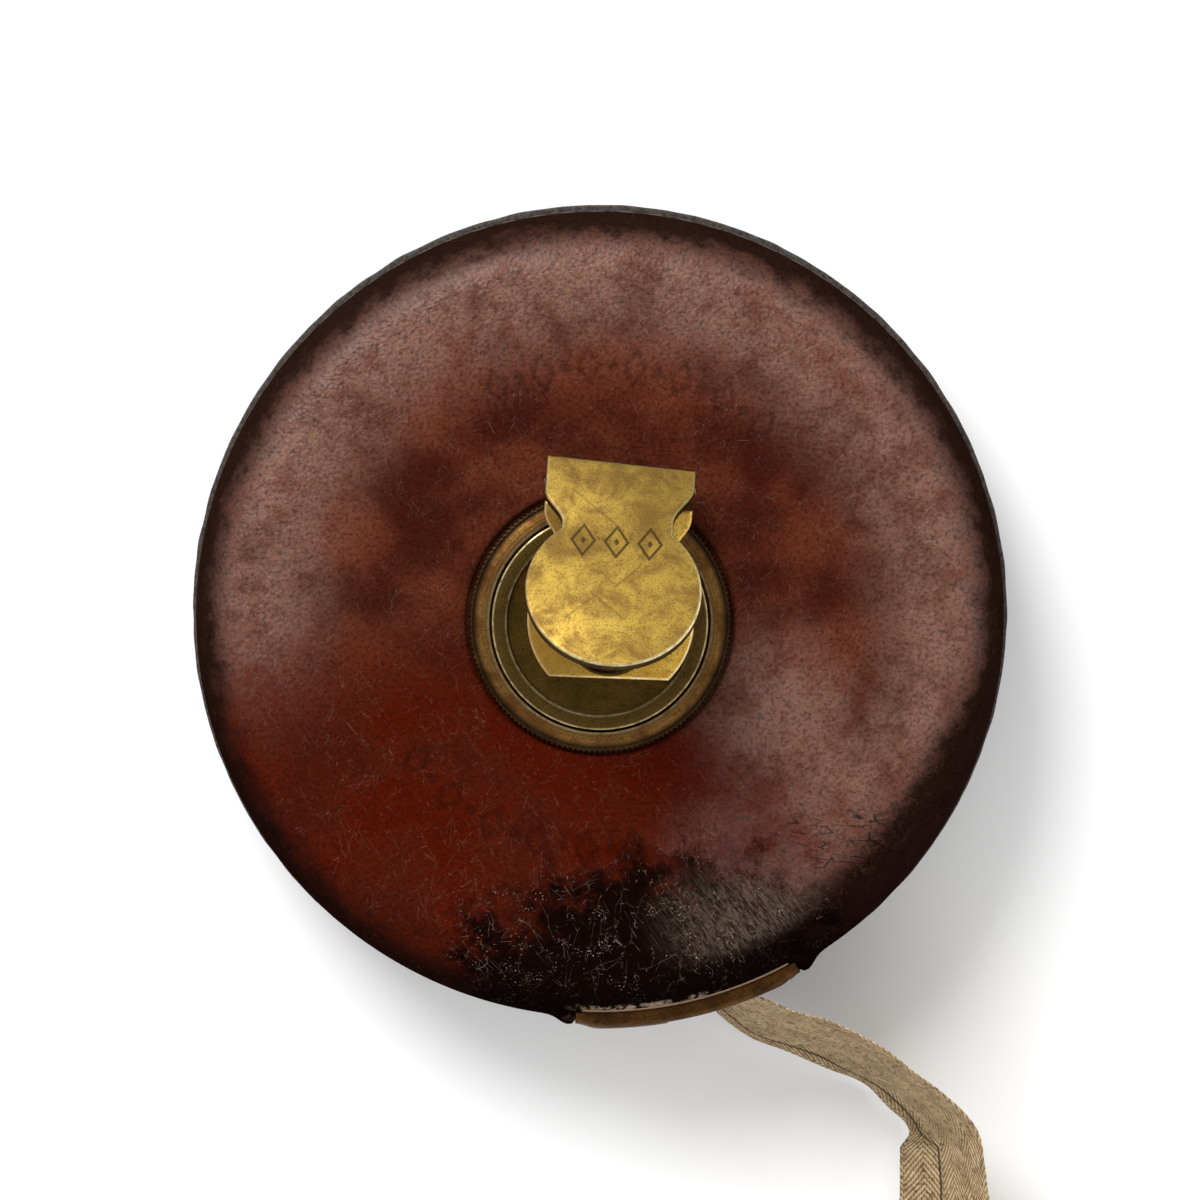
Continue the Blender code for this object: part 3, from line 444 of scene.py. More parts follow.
class Graph:
    """Short calls for building one procedural material; its lengths are in millimetres."""

    def __init__(self, name, metallic=0.0, coat=0.0, specular=0.5):
        self.material = bpy.data.materials.new(name)
        self.material.use_nodes = True
        self.nodes = self.material.node_tree.nodes
        self.links = self.material.node_tree.links
        self.shader = self.nodes["Principled BSDF"]
        self.shader.inputs["Metallic"].default_value = metallic
        self.shader.inputs["Coat Weight"].default_value = coat
        self.shader.inputs["Coat Roughness"].default_value = 0.3
        self.shader.inputs["Specular IOR Level"].default_value = specular
        point = self.add("ShaderNodeTexCoord").outputs["Object"]
        scale = self.add("ShaderNodeVectorMath", {0: point, "Scale": TO_MM}, operation="SCALE")
        self.place = scale.outputs[0]
        self.height = None

    def add(self, kind, inputs=None, **settings):
        """A new node with its settings, and with its inputs linked or set."""
        node = self.nodes.new(kind)
        for key, value in settings.items():
            setattr(node, key, value)
        for key, value in (inputs or {}).items():
            self.feed(node.inputs[key], value)
        return node

    def feed(self, socket, value):
        """Link a value to an input, or set the input to a number or colour."""
        if isinstance(value, Value):
            value = value.socket
        if isinstance(value, bpy.types.NodeSocket):
            self.links.new(value, socket)
        elif value is not None:
            socket.default_value = value

    def math(self, operation, a, b=None, clamp=False):
        node = self.add("ShaderNodeMath", {0: a, 1: b}, operation=operation, use_clamp=clamp)
        return Value(self, node.outputs[0])

    def most(self, first, *others):
        """The largest of several values."""
        for other in others:
            first = self.math("MAXIMUM", first, other)
        return first

    def split(self, vector=None):
        node = self.add("ShaderNodeSeparateXYZ", {0: vector or self.place})
        return [Value(self, output) for output in node.outputs]

    def stretch(self, scale, turn=0.0, shift=0.0):
        """Coordinates turned by an angle in degrees, then squeezed along the turned axes."""
        turned = (0.0, 0.0, math.radians(turn))
        return self.mapped(self.place, (shift, 0.0, 0.0), turned, [1.0 / share for share in scale])

    def mapped(self, vector, origin, rotation, scale=(1.0, 1.0, 1.0)):
        """Coordinates in a frame given by its origin, rotation and scale."""
        inputs = {"Vector": vector, "Location": origin, "Rotation": rotation, "Scale": scale}
        return self.add("ShaderNodeMapping", inputs, vector_type="TEXTURE").outputs[0]

    def noise(self, scale, detail=3.0, roughness=0.55, distortion=0.0, vector=None):
        inputs = {"Vector": vector or self.place, "Scale": scale, "Detail": detail}
        inputs |= {"Roughness": roughness, "Distortion": distortion}
        return Value(self, self.add("ShaderNodeTexNoise", inputs).outputs[0])

    def cells(self, scale, feature="F1", vector=None):
        inputs = {"Vector": vector or self.place, "Scale": scale}
        node = self.add("ShaderNodeTexVoronoi", inputs, feature=feature)
        return Value(self, node.outputs["Distance"])

    def span(self, value, low, high, to_low=0.0, to_high=1.0):
        """Blend smoothly from to_low to to_high while the value goes from low to high."""
        inputs = dict(enumerate((value, low, high, to_low, to_high)))
        node = self.add("ShaderNodeMapRange", inputs, interpolation_type="SMOOTHSTEP")
        return Value(self, node.outputs[0])

    def mix(self, share, a, b):
        return self.add("ShaderNodeMix", {0: share, 6: a, 7: b}, data_type="RGBA").outputs[2]

    def length(self, a, b):
        return self.math("SQRT", a * a + b * b)

    def towards(self, x, y, radius, degrees):
        """Cosine of the angle between a point's direction from the centre and a given direction."""
        turn = math.radians(degrees)
        return (x * math.cos(turn) + y * math.sin(turn)) / radius

    def line(self, x, y, start, end, width):
        """1 on a straight mark between two points, fading over its width."""
        run = Vector(end) - Vector(start)
        run_x = x - start[0]
        run_y = y - start[1]
        along = run_x * run.x + run_y * run.y
        share = self.math("DIVIDE", along, run.length_squared, clamp=True)
        off = self.length(run_x - share * run.x, run_y - share * run.y)
        return self.span(off, width * 0.4, width, 1.0, 0.0)

    def attribute(self, name, output="Fac"):
        node = self.add("ShaderNodeAttribute", attribute_name=name)
        return Value(self, node.outputs[output])

    def relief(self, height, distance, strength=1.0):
        """Stack a bump on the ones before it; distance in metres."""
        inputs = {"Strength": strength, "Distance": distance, "Height": height, "Normal": self.height}
        self.height = self.add("ShaderNodeBump", inputs).outputs[0]

    def finish(self, colour, roughness):
        self.feed(self.shader.inputs["Base Color"], colour)
        self.feed(self.shader.inputs["Roughness"], roughness)
        self.feed(self.shader.inputs["Normal"], self.height)
        return self.material


# ---- materials -------------------------------------------------------------------------------
LEATHER_CODES = {
    "deep": "36140c",
    "brown": "562819",
    # Painted sheen: a pale pinkish colour that stands for the waxed face's reflection.
    "painted_sheen": "6f4b3d",
    "warm": "430f04",
    "grain": "200a05",
    "rim": "120806",
    "stain": "080403",
    "scuff": "5c4e43",
    # A pale colour for rubbed wear, which also paints the highlight on the lip.
    "rubbed": "9c8676",
    "tooled": "1c0a07",
    "crack": "070403",
    # Painted shade in the creases, a dark colour.
    "crease_shade": "1c0d08",
}
LEATHER = {name: srgb(code) for name, code in LEATHER_CODES.items()}
# Painted shade on the side faces, a dark brass colour.
BRASS_SIDE_SHADE = "1a1006"
# Painted highlight and wear on edges, a pale brass colour.
BRASS_BRIGHT = "f0e2b0"
BRASS_PUNCHED = "3a2a12"
BRASS_SCORED = "54401e"
SCRATCH_SETS = ((25.0, 3.0), (-50.0, 70.0), (78.0, 30.0), (110.0, 11.0))  # direction and shift
PUNCH_PITCH = 3.2  # millimetres between the lozenges on the handle
PUNCH_ROW = 7.9  # from the hinge pin to the row
LEAF_SCRATCHES = (
    ((-4.6, -2.2), (0.6, -6.6)),
    ((-2.2, -13.6), (1.2, -16.4)),
    ((-1.6, -13.9), (-4.4, -16.6)),
    ((2.4, -10.4), (0.2, -12.8)),
)
STRIPE = 2.5  # width of one herringbone stripe in millimetres


def leather_material():
    """Moulded, waxed leather: dark red face with a painted sheen that makes it greyer towards its edge,
    blackened rim and mouth.
    """
    g = Graph("case_leather")
    x, y, _ = g.split()
    radius = g.length(x, y)
    clouds = g.noise(0.09, 4.0, 0.6)
    blotches = g.noise(0.35, 5.0, 0.65)
    fine = g.noise(2.6, 3.0, 0.6)

    colour = g.mix(g.span(clouds, 0.36, 0.64), LEATHER["deep"], LEATHER["brown"])
    low_left = g.towards(x, y, radius, -108.0)
    low_right = g.towards(x, y, radius, -48.0)
    # Painted sheen: paler with the radius away from the lower left, in a patch right of the hub and low
    # on the right; it also sets where the leather shines.
    painted_sheen = g.span(radius, 22.0, 34.5) * g.span(low_left, 0.25, 0.72, 1.0, 0.0)
    sheen_patch = g.length(x - 17.5, y + 9.5)
    painted_sheen = g.most(painted_sheen, g.span(sheen_patch, 2.0, 13.0, 0.9, 0.0))
    lower = g.span(radius, 17.0, 27.0) * g.span(low_right, 0.82, 0.97, 0.0, 0.9)
    painted_sheen = g.most(painted_sheen, lower)
    painted_sheen = painted_sheen * g.span(blotches, 0.3, 0.62, 0.4, 1.0)
    colour = g.mix(painted_sheen, colour, LEATHER["painted_sheen"])
    warm = g.span(low_left, 0.2, 0.72) * g.span(clouds, 0.35, 0.6, 0.45, 1.0)
    colour = g.mix(warm, colour, LEATHER["warm"])
    colour = g.mix(g.span(fine, 0.42, 0.70, 0.0, 0.55), colour, LEATHER["grain"])

    wander = (blotches - 0.5) * 5.0
    rim = radius + wander + g.span(low_right, 0.7, 1.0, 0.0, 3.5)
    rim = g.span(rim, 35.4, 39.2)
    colour = g.mix(rim * 0.95, colour, LEATHER["rim"])
    stain = stain_mask(g, x, y, blotches)
    colour = g.mix(stain * 0.96, colour, LEATHER["stain"])
    colour = g.mix(scuff_mask(g, x, y, radius), colour, LEATHER["scuff"])
    shine = painted_sheen * (1.0 - g.most(rim, stain))
    g.feed(g.shader.inputs["Specular IOR Level"], g.span(shine, 0.0, 1.0, 0.0, 0.30))

    scars = scratch_mask(g) * g.span(stain, 0.0, 1.0, 0.35, 0.7)
    specks = speck_mask(g, stain)
    pale = g.most(scars * 0.5, specks)
    pale = pale * g.span(radius, 36.0, 37.2, 1.0, 0.25)
    # The pale line on the lip is a painted highlight as well as rubbed wear.
    pale = g.most(pale, lip_highlight_and_wear(g, x, y, radius))
    colour = g.mix(pale, colour, LEATHER["rubbed"])
    tooling = g.attribute("tooling")
    colour = g.mix(tooling * 0.35, colour, LEATHER["tooled"])
    cracks = crack_mask(g, x, y)
    colour = g.mix(cracks, colour, LEATHER["crack"])

    crease = g.cells(0.75, "DISTANCE_TO_EDGE", g.stretch((1.0, 1.6, 1.0), 30.0))
    # Painted shade: dark lines along the creases, only where the painted sheen is.
    crease_shade_lines = g.span(crease, 0.0, 0.07, 0.6, 0.0) * g.span(fine, 0.4, 0.6)
    colour = g.mix(crease_shade_lines * painted_sheen, colour, LEATHER["crease_shade"])
    g.relief(g.span(crease, 0.0, 0.12), 0.05 * MM, 0.4)
    g.relief(g.cells(2.3), 0.14 * MM, 0.5)
    g.relief(fine, 0.09 * MM, 0.7)
    g.relief(1.0 - cracks, 0.15 * MM, 0.8)
    rough = g.span(blotches, 0.3, 0.7, 0.36, 0.50)
    rough = rough + pale * 0.25
    return g.finish(colour, rough)


def stain_mask(g, x, y, blotches):
    """Black wear behind the mouth, broad along the rim and ragged on its inner side."""
    across = (x - 6.5) / 24.0
    along = (y + 39.0) / 17.0
    spread = g.length(across, along)
    ragged = spread + (blotches - 0.5) * 1.1
    return g.span(ragged, 0.70, 1.10, 1.0, 0.0)


def scuff_mask(g, x, y, radius):
    """Dense grey-brown scuffing on the black wear to the right of the mouth."""
    across = (x - 14.5) / 9.5
    along = (y + 29.5) / 6.5
    near = g.span(g.length(across, along), 0.15, 1.25, 1.0, 0.0)
    near = near * g.span(radius, 34.2, 36.4, 1.0, 0.0)
    streaks = g.noise(2.3, 4.0, 0.75, vector=g.stretch((2.2, 0.45, 1.0), 38.0))
    return near * g.span(streaks, 0.4, 0.66, 0.1, 0.8)


def speck_mask(g, stain):
    """Tiny pale specks where the wax has rubbed off, thickest on the black wear."""
    grains = g.span(g.noise(4.5, 2.0, 0.5), 0.62, 0.72)
    patches = g.span(g.noise(0.45, 3.0, 0.6), 0.48, 0.68)
    amount = g.span(stain, 0.0, 1.0, 0.15, 0.8)
    return grains * patches * amount


def scratch_mask(g):
    """Short thin pale scratches in four directions."""
    scratches = []
    for turn, shift in SCRATCH_SETS:
        place = g.stretch((0.65, 2.6, 1.0), turn, shift)
        lines = g.cells(0.62, "DISTANCE_TO_EDGE", place)
        where = g.span(g.noise(0.40, 3.0, 0.6, vector=place), 0.57, 0.64)
        scratches.append(g.span(lines, 0.0, 0.016, 1.0, 0.0) * where)
    return g.most(*scratches)


def lip_highlight_and_wear(g, x, y, radius):
    """Pale line along the leather's lip over the mouth: a painted highlight on the lip's edge, and
    rubbed wear.
    """
    along = g.span(g.towards(x, y, radius, MOUTH_ANGLE - 96.0), 0.975, 0.995)
    line = g.span(radius, 38.05, 38.35)
    broken = g.span(g.noise(0.9, 4.0, 0.7), 0.46, 0.62, 0.0, 0.7)
    return line * along * broken


def crack_mask(g, x, y):
    """Dark surface cracks to the right of the mouth."""
    away = g.length(x - 23.5, (y + 21.5) * 1.8)
    near = g.span(away, 4.0, 9.0, 1.0, 0.0)
    bent = g.stretch((0.55, 1.9, 1.0), -10.0)
    lines = g.cells(0.50, "DISTANCE_TO_EDGE", bent)
    broken = g.span(g.noise(0.9, 4.0, 0.7), 0.44, 0.56)
    return g.span(lines, 0.0, 0.055, 1.0, 0.0) * near * broken


def raw_edge_material():
    """Cut leather edge: pale and fibrous."""
    g = Graph("raw_leather_edge", specular=0.3)
    fibres = g.noise(3.0, 4.0, 0.7)
    colour = g.mix(fibres, srgb("6b4a35"), srgb("c09a78"))
    g.relief(fibres, 0.15 * MM, 0.6)
    return g.finish(colour, 0.75)


def welt_material():
    g = Graph("rim_welt_leather", specular=0.3)
    fibres = g.noise(2.4, 4.0, 0.7)
    colour = g.mix(g.span(fibres, 0.3, 0.7), srgb("120d0b"), srgb("4a4039"))
    g.relief(fibres, 0.12 * MM, 0.6)
    return g.finish(colour, 0.7)


def brass_material(
    name,
    light,
    dark,
    stain,
    roughness=0.36,
    metallic=0.92,
    rings=0.0,
    dirt=0.5,
    shade=None,
    marks=None,
):
    """Old brass: two tones, dark spots, fine scratches, bright edges that are wear and painted
    highlight, and painted shade on side faces.
    """
    g = Graph(name, metallic=metallic)
    clouds = g.noise(0.30, 5.0, 0.65, 0.6)
    spots = g.noise(1.1, 5.0, 0.7)
    grain = g.noise(6.0, 2.0, 0.6)
    colour = g.mix(g.span(clouds, 0.36, 0.64), srgb(dark), srgb(light))
    colour = g.mix(g.span(spots, 0.52, 0.72, 0.0, dirt), colour, srgb(stain))
    colour = g.mix(g.span(grain, 0.50, 0.66, 0.0, 0.65), colour, srgb(stain))
    if shade:
        colour = g.mix(shade(g), colour, srgb(stain))
    # The edge attribute holds painted highlights as well as edge wear.
    wear = g.attribute("edge")
    bright_wear_and_highlight = wear * g.span(spots, 0.3, 0.62, 0.15, 1.0)
    # Painted shade on the side faces of the handle leaves and on the hub ring's milled edge.
    colour = g.mix(g.attribute("side") * 0.85, colour, srgb(BRASS_SIDE_SHADE))
    colour = g.mix(bright_wear_and_highlight, colour, srgb(BRASS_BRIGHT))
    fine = g.cells(0.6, "DISTANCE_TO_EDGE", g.stretch((0.15, 3.0, 1.0), -38.0))
    hair = g.span(fine, 0.0, 0.03, 1.0, 0.0)
    hair = hair * g.span(g.noise(0.35, 2.0), 0.55, 0.65)
    if marks:
        punched, scored = marks(g)
        colour = g.mix(punched * 0.85, colour, srgb(BRASS_PUNCHED))
        hair = g.most(hair, scored)
        g.relief(punched, 0.12 * MM, -0.8)
    colour = g.mix(hair * 0.5, colour, srgb(BRASS_SCORED))
    if rings:
        x, y, _ = g.split()
        turned = g.math("SINE", g.length(x, y) * (2 * math.pi / rings))
        g.relief(turned, 0.01 * MM, 0.25)
    g.relief(spots, 0.06 * MM, 0.25)
    g.relief(grain, 0.03 * MM, 0.4)
    g.relief(hair, 0.04 * MM, -0.4)
    rough = g.span(clouds, 0.3, 0.7, roughness + 0.1, roughness - 0.05)
    return g.finish(colour, rough - bright_wear_and_highlight * 0.12)


def leaf_place(g):
    """Position in the handle leaf's own frame, in millimetres."""
    leaf = leaf_frame()
    return g.split(g.mapped(g.place, leaf.translation * TO_MM, leaf.to_euler()))


def handle_shade(g):
    """The leaf is browner towards its hinge."""
    _, y, _ = leaf_place(g)
    return g.span(y, -13.0, -1.0, 0.0, 0.42)


def base_shade(g):
    """The base leaf is browner on its left."""
    x, _, _ = g.split()
    return g.span(x, -5.0, 6.0, 0.80, 0.0)


def handle_marks(g):
    """Three punched lozenges across the upper side of the leaf, and a few long scratches."""
    x, y, z = leaf_place(g)
    upper = g.span(z, 1.9, 2.1)
    punched = []
    for number in (-1, 0, 1):
        across = abs(x - number * PUNCH_PITCH)
        along = abs(y + PUNCH_ROW)
        lozenge = across / 1.25 + along / 1.9
        punched.append(g.span(abs(lozenge - 0.88), 0.08, 0.17, 1.0, 0.0))
        punched.append(g.span(lozenge, 0.16, 0.28, 1.0, 0.0))
    scored = [g.line(x, y, start, end, 0.14) for start, end in LEAF_SCRATCHES]
    return g.most(*punched) * upper, g.most(*scored) * upper


def steel_material():
    g = Graph("turned_steel", metallic=0.95)
    spots = g.noise(1.4, 5.0, 0.7)
    colour = g.mix(g.span(spots, 0.4, 0.7), srgb("8a8478"), srgb("5b5146"))
    g.relief(spots, 0.05 * MM, 0.3)
    return g.finish(colour, 0.42)


def wood_material():
    g = Graph("drum_hardwood", coat=0.1)
    grain = g.noise(0.8, 4.0, 0.6, 1.0, g.stretch((1.0, 1.0, 0.15)))
    return g.finish(g.mix(grain, srgb("8a6238"), srgb("c09660")), 0.5)


def fibre_material():
    g = Graph("washer_fibre")
    specks = g.noise(2.5, 3.0)
    return g.finish(g.mix(specks, srgb("5a2214"), srgb("8a4028")), 0.7)


def thread_material():
    g = Graph("waxed_thread", specular=0.4)
    strands = g.noise(5.0, 2.0, vector=g.stretch((1.0, 1.0, 3.0)))
    g.relief(strands, 0.05 * MM, 0.6)
    return g.finish(g.mix(strands, srgb("19110c"), srgb("453525")), 0.6)


def linen_material():
    """Herringbone linen tape. The strip attribute holds along, across and the edge distance in mm; on
    the folded part that distance is shifted so that the dark border line lies on the crease as painted
    shade.
    """
    g = Graph("linen_tape", specular=0.25)
    along, across, rim = g.split(g.attribute("strip", "Vector"))
    row = (across + 10 * STRIPE) / STRIPE
    odd = g.math("MODULO", g.math("FLOOR", row), 2.0)
    direction = odd * 2.0 - 1.0
    inside = g.math("FRACT", row) * STRIPE
    slant = inside * direction * 1.1
    twill = g.math("PINGPONG", (along + slant) * 1.4, 0.5)
    threads = g.math("PINGPONG", across * 3.2, 0.5)
    fuzz = g.noise(3.5, 4.0, 0.7)
    dirt = g.noise(0.5, 4.0, 0.65)
    weave = twill * 1.4 + threads * 0.5

    colour = g.mix(g.span(dirt, 0.3, 0.7), srgb("a88b66"), srgb("d3b88f"))
    colour = g.mix(g.span(weave, 0.1, 0.60, 0.85, 0.0), colour, srgb("49381f"))
    inputs = {"Vector": g.attribute("strip", "Vector"), "Scale": (2.0, 0.8, 1.0)}
    coarse = g.add("ShaderNodeMapping", inputs)
    tufts = g.noise(1.0, 4.0, 0.7, vector=coarse.outputs[0])
    colour = g.mix(g.span(tufts, 0.50, 0.66, 0.0, 0.75), colour, srgb("4a3a22"))
    flecks = g.span(fuzz, 0.56, 0.68) * g.span(twill, 0.1, 0.3, 1.0, 0.2)
    colour = g.mix(flecks * 0.8, colour, srgb("3d2f19"))
    # A dark line along each border; where the tape is folded it runs on the crease as painted shade.
    line = g.span(abs(rim - 1.7), 0.08, 0.24, 1.0, 0.0)
    faint = g.span(across, -1.0, 1.0, 0.9, 0.25)
    colour = g.mix(line * faint, colour, srgb("261b0e"))
    g.relief(weave, 0.30 * MM, 1.0)
    g.relief(fuzz, 0.08 * MM, 0.6)
    return g.finish(colour, 0.85)


# ---- leather case ----------------------------------------------------------------------------
# Creases from start to end, each in polar degrees and millimetres.
CREASES = (
    ((-54.0, 15.5), (-52.0, 26.0)),
    ((-50.0, 16.0), (-47.0, 24.0)),
    ((-58.0, 17.0), (-56.5, 22.0)),
    ((118.0, 16.0), (121.0, 21.0)),
)
# Tooled rows on the front: radius, middle and half span in degrees, and number of marks.
TOOLED_ROWS = ((25.0 * MM, 82.0, 34.0, 13), (22.5 * MM, -112.0, 34.0, 11))
SHELL_SIDES = 540
FACE_STEPS = 84
SHOULDER_STEPS = 18
WALL_STEPS = 6
INNER_STEPS = 5
LIP_INSET = 1.45 * MM  # how much nearer to the axis the leather ends above the mouth
LIP_RISE = 4.9 * MM  # how much less the shoulder drops there
SEAM_GAP = 0.62 * MM  # from the case's middle plane to a shell
WELT_STEPS = 420
WELT_GAP = 0.7  # degrees between the mouth plate and the welt
STITCH_GAP = 6.0  # degrees between the mouth plate and the first stitch
STITCH_PITCH = 4.2  # degrees
STITCH_STEPS = 4  # from a stitch's middle to its end
STITCH_SIDES = 8
STITCH_ROW = 2.5 * MM  # from the seam to a row of stitches


def beside_mouth(degrees):
    """Degrees from the mouth's middle, for an angle in degrees from -Y."""
    return abs((degrees - MOUTH_ANGLE + 180.0) % 360.0 - 180.0)


def mouth_share(degrees):
    """1 in the mouth and 0 away from it."""
    return 1.0 - smoothstep(MOUTH_HALF_SPAN - 0.9, MOUTH_HALF_SPAN + 0.5, beside_mouth(degrees))


def corner_flare(degrees):
    """How far the mouth's corners stand out."""
    return 0.85 * MM * math.exp(-(((beside_mouth(degrees) - MOUTH_HALF_SPAN - 1.0) / 1.8) ** 2))


def shell_section(degrees):
    """(radius, height) of the front shell at one angle, and which points are raw edge.

    In the mouth the shoulder is pressed in and ends in a lip above the brass plate.
    """
    share = mouth_share(degrees)
    face_edge = CASE_RADIUS - SHOULDER[0]
    across = SHOULDER[0] - LIP_INSET * share
    up = SHOULDER[1] - LIP_RISE * share
    wall_end = SEAM + SEAM_GAP
    foot = wall_end + (FACE - up - 0.05 * MM - wall_end) * share
    bush = FLANGE_RADIUS - 1.3 * MM
    points = [
        (bush, FACE - WALL),
        (bush, FACE - 0.5 * MM),
        (FLANGE_RADIUS + 0.05 * MM, FACE - 0.5 * MM),
        (FLANGE_RADIUS + 0.18 * MM, FACE - 0.35 * MM),
        (FLANGE_RADIUS + 0.30 * MM, FACE - 0.10 * MM),
        (FLANGE_RADIUS + 0.60 * MM, FACE),
    ]
    start = points[-1][0]
    for step in range(1, FACE_STEPS):
        points.append((start + (face_edge - start) * step / FACE_STEPS, FACE))
    for step in range(SHOULDER_STEPS + 1):
        turn = math.pi / 2 * step / SHOULDER_STEPS
        points.append((face_edge + across * math.sin(turn), FACE - up + up * math.cos(turn)))
    outer = face_edge + across
    for step in range(1, WALL_STEPS + 1):
        points.append((outer, FACE - up + (foot - FACE + up) * step / WALL_STEPS))
    raw_start = len(points) - 1
    inner = CASE_RADIUS - WALL + 0.75 * MM * share
    points.append((outer - 0.15 * MM + 0.52 * MM * share, foot - 0.12 * MM - 0.45 * MM * share))
    points.append((inner, foot - 0.12 * MM - 0.8 * MM * share))
    raw_end = len(points) - 1
    inner_up = 4.1 * MM - 3.6 * MM * share
    reach = 4.2 * MM + 0.9 * MM * share
    for step in range(INNER_STEPS, -1, -1):
        turn = math.pi / 2 * step / INNER_STEPS
        height = FACE - WALL - inner_up + inner_up * math.cos(turn)
        points.append((inner - reach + reach * math.sin(turn), height))
    return points, raw_start, raw_end


def tooled_arc(x, y, radius, middle, half_span, count):
    """Share of blind tooling at a point: lozenges and dots along an arc; angles in degrees."""
    reach = math.hypot(x, y)
    angle = math.degrees(math.atan2(y, x)) - middle
    angle = (angle + 180.0) % 360.0 - 180.0
    if abs(angle) > half_span or abs(reach - radius) > 3.0 * MM:
        return 0.0
    pitch = 2 * half_span / count
    slot = (angle + half_span) / pitch
    local = (slot - math.floor(slot) - 0.5) * math.radians(pitch) * radius
    up = reach - radius
    if math.floor(slot) % 2:
        size = math.hypot(local, up)
        return 1.0 - smoothstep(0.45 * MM, 0.65 * MM, size)
    lozenge = abs(local) / (1.25 * MM) + abs(up) / (1.9 * MM)
    return 1.0 - smoothstep(0.13, 0.28, abs(lozenge - 0.85))


def face_relief(x, y, seed):
    """Height in metres of dents and waves of the leather at a point."""
    spot = Vector((x, y, seed)) * TO_MM
    return 0.10 * MM * noise.noise(spot * 0.09) + 0.035 * MM * noise.noise(spot * 0.35)


def polar(degrees, reach):
    point = Vector((reach * MM, 0)).to_2d()
    point.rotate(Matrix.Rotation(math.radians(degrees), 2))
    return point


def crease_depth(x, y):
    """Depth share of the leather's creases at a point."""
    depth = 0.0
    for start, end in CREASES:
        a = polar(*start)
        run = polar(*end) - a
        point = Vector((x, y)) - a
        t = min(max(point.dot(run) / run.length_squared, 0.0), 1.0)
        wobble = 0.25 * MM * noise.noise(Vector((x, y, 0.0)) * 600)
        away = (point - run * t).length + wobble
        depth += math.exp(-((away / (0.28 * MM)) ** 2)) * math.sin(math.pi * min(max(t, 0.02), 0.98))
    return depth


def leather_shell(name, mirrored, mats):
    """Closed leather shell, with tooling and creases on the front one only."""
    bm = bmesh.new()
    layer = bm.verts.layers.float.new("tooling")
    rings = []
    for step in range(SHELL_SIDES):
        degrees = 360.0 * step / SHELL_SIDES
        angle = math.radians(degrees - 90.0)
        section, raw_start, raw_end = shell_section(degrees)
        flare = corner_flare(degrees)
        loop = []
        for index, (radius, height) in enumerate(section):
            outside = index <= raw_start
            tooling = 0.0
            if outside and height < FACE - 3.0 * MM:
                radius += flare
            x, y = radius * math.cos(angle), radius * math.sin(angle)
            if outside and radius > FLANGE_RADIUS + 0.7 * MM:
                fade = smoothstep(FLANGE_RADIUS + 0.7 * MM, FLANGE_RADIUS + 3.0 * MM, radius)
                lift = face_relief(x, y, 7.0 if mirrored else 0.0) * fade
                if not mirrored and height > FACE - 2.5 * MM:
                    tooling = max(tooled_arc(x, y, *row) for row in TOOLED_ROWS)
                    lift -= 0.13 * MM * tooling + 0.20 * MM * crease_depth(x, y)
                height += min(lift, 0.0) if height > FACE - 0.1 * MM else lift * 0.5
            if mirrored:
                height = FACE - height
            vert = bm.verts.new((x, y, height))
            vert[layer] = tooling
            loop.append(vert)
        rings.append(loop)
    count = len(rings[0])
    for here, there in zip(rings, [*rings[1:], rings[0]]):
        for index in range(count):
            after = (index + 1) % count
            face = bm.faces.new((here[index], there[index], there[after], here[after]))
            if raw_start <= index < raw_end:
                face.material_index = 1
    obj = mesh_object(name, bm, mats[0], 50.0)
    obj.data.materials.append(mats[1])
    return obj


def add_case(leather, raw_edge, welt_mat, thread):
    front = leather_shell("front_leather", False, (leather, raw_edge))
    settle(front, "root", "case_leather", "front_cover")
    back = leather_shell("back_leather", True, (leather, raw_edge))
    settle(back, "root", "case_leather", "back_cover")
    add_welt(welt_mat)
    for name, node, side in (
        ("front_stitches", "front_seam_thread", 1),
        ("back_stitches", "back_seam_thread", -1),
    ):
        settle(stitches(name, SEAM + side * STITCH_ROW, thread), "root", "thread", node)


def add_welt(mat):
    """Welt between the shells, a little uneven along its raw edge."""
    start = MOUTH_ANGLE + MOUTH_HALF_SPAN + WELT_GAP
    end = start + 360.0 - 2 * (MOUTH_HALF_SPAN + WELT_GAP)

    def edge(share):
        return WELT_RADIUS + 0.10 * MM * (noise.noise(Vector((share * 90.0, 0.0, 3.0))) - 0.6)

    def section(share):
        inner = CASE_RADIUS - WALL
        low, high = SEAM - 0.60 * MM, SEAM + 0.60 * MM
        return ((inner, low), (edge(share), low), (edge(share), high), (inner, high))

    welt = mesh_object("welt_strip", sweep(section, start, end, WELT_STEPS), mat, 60.0)
    soften(welt, 0.25 * MM, 3)
    settle(welt, "root", "welt_leather", "rim_welt")


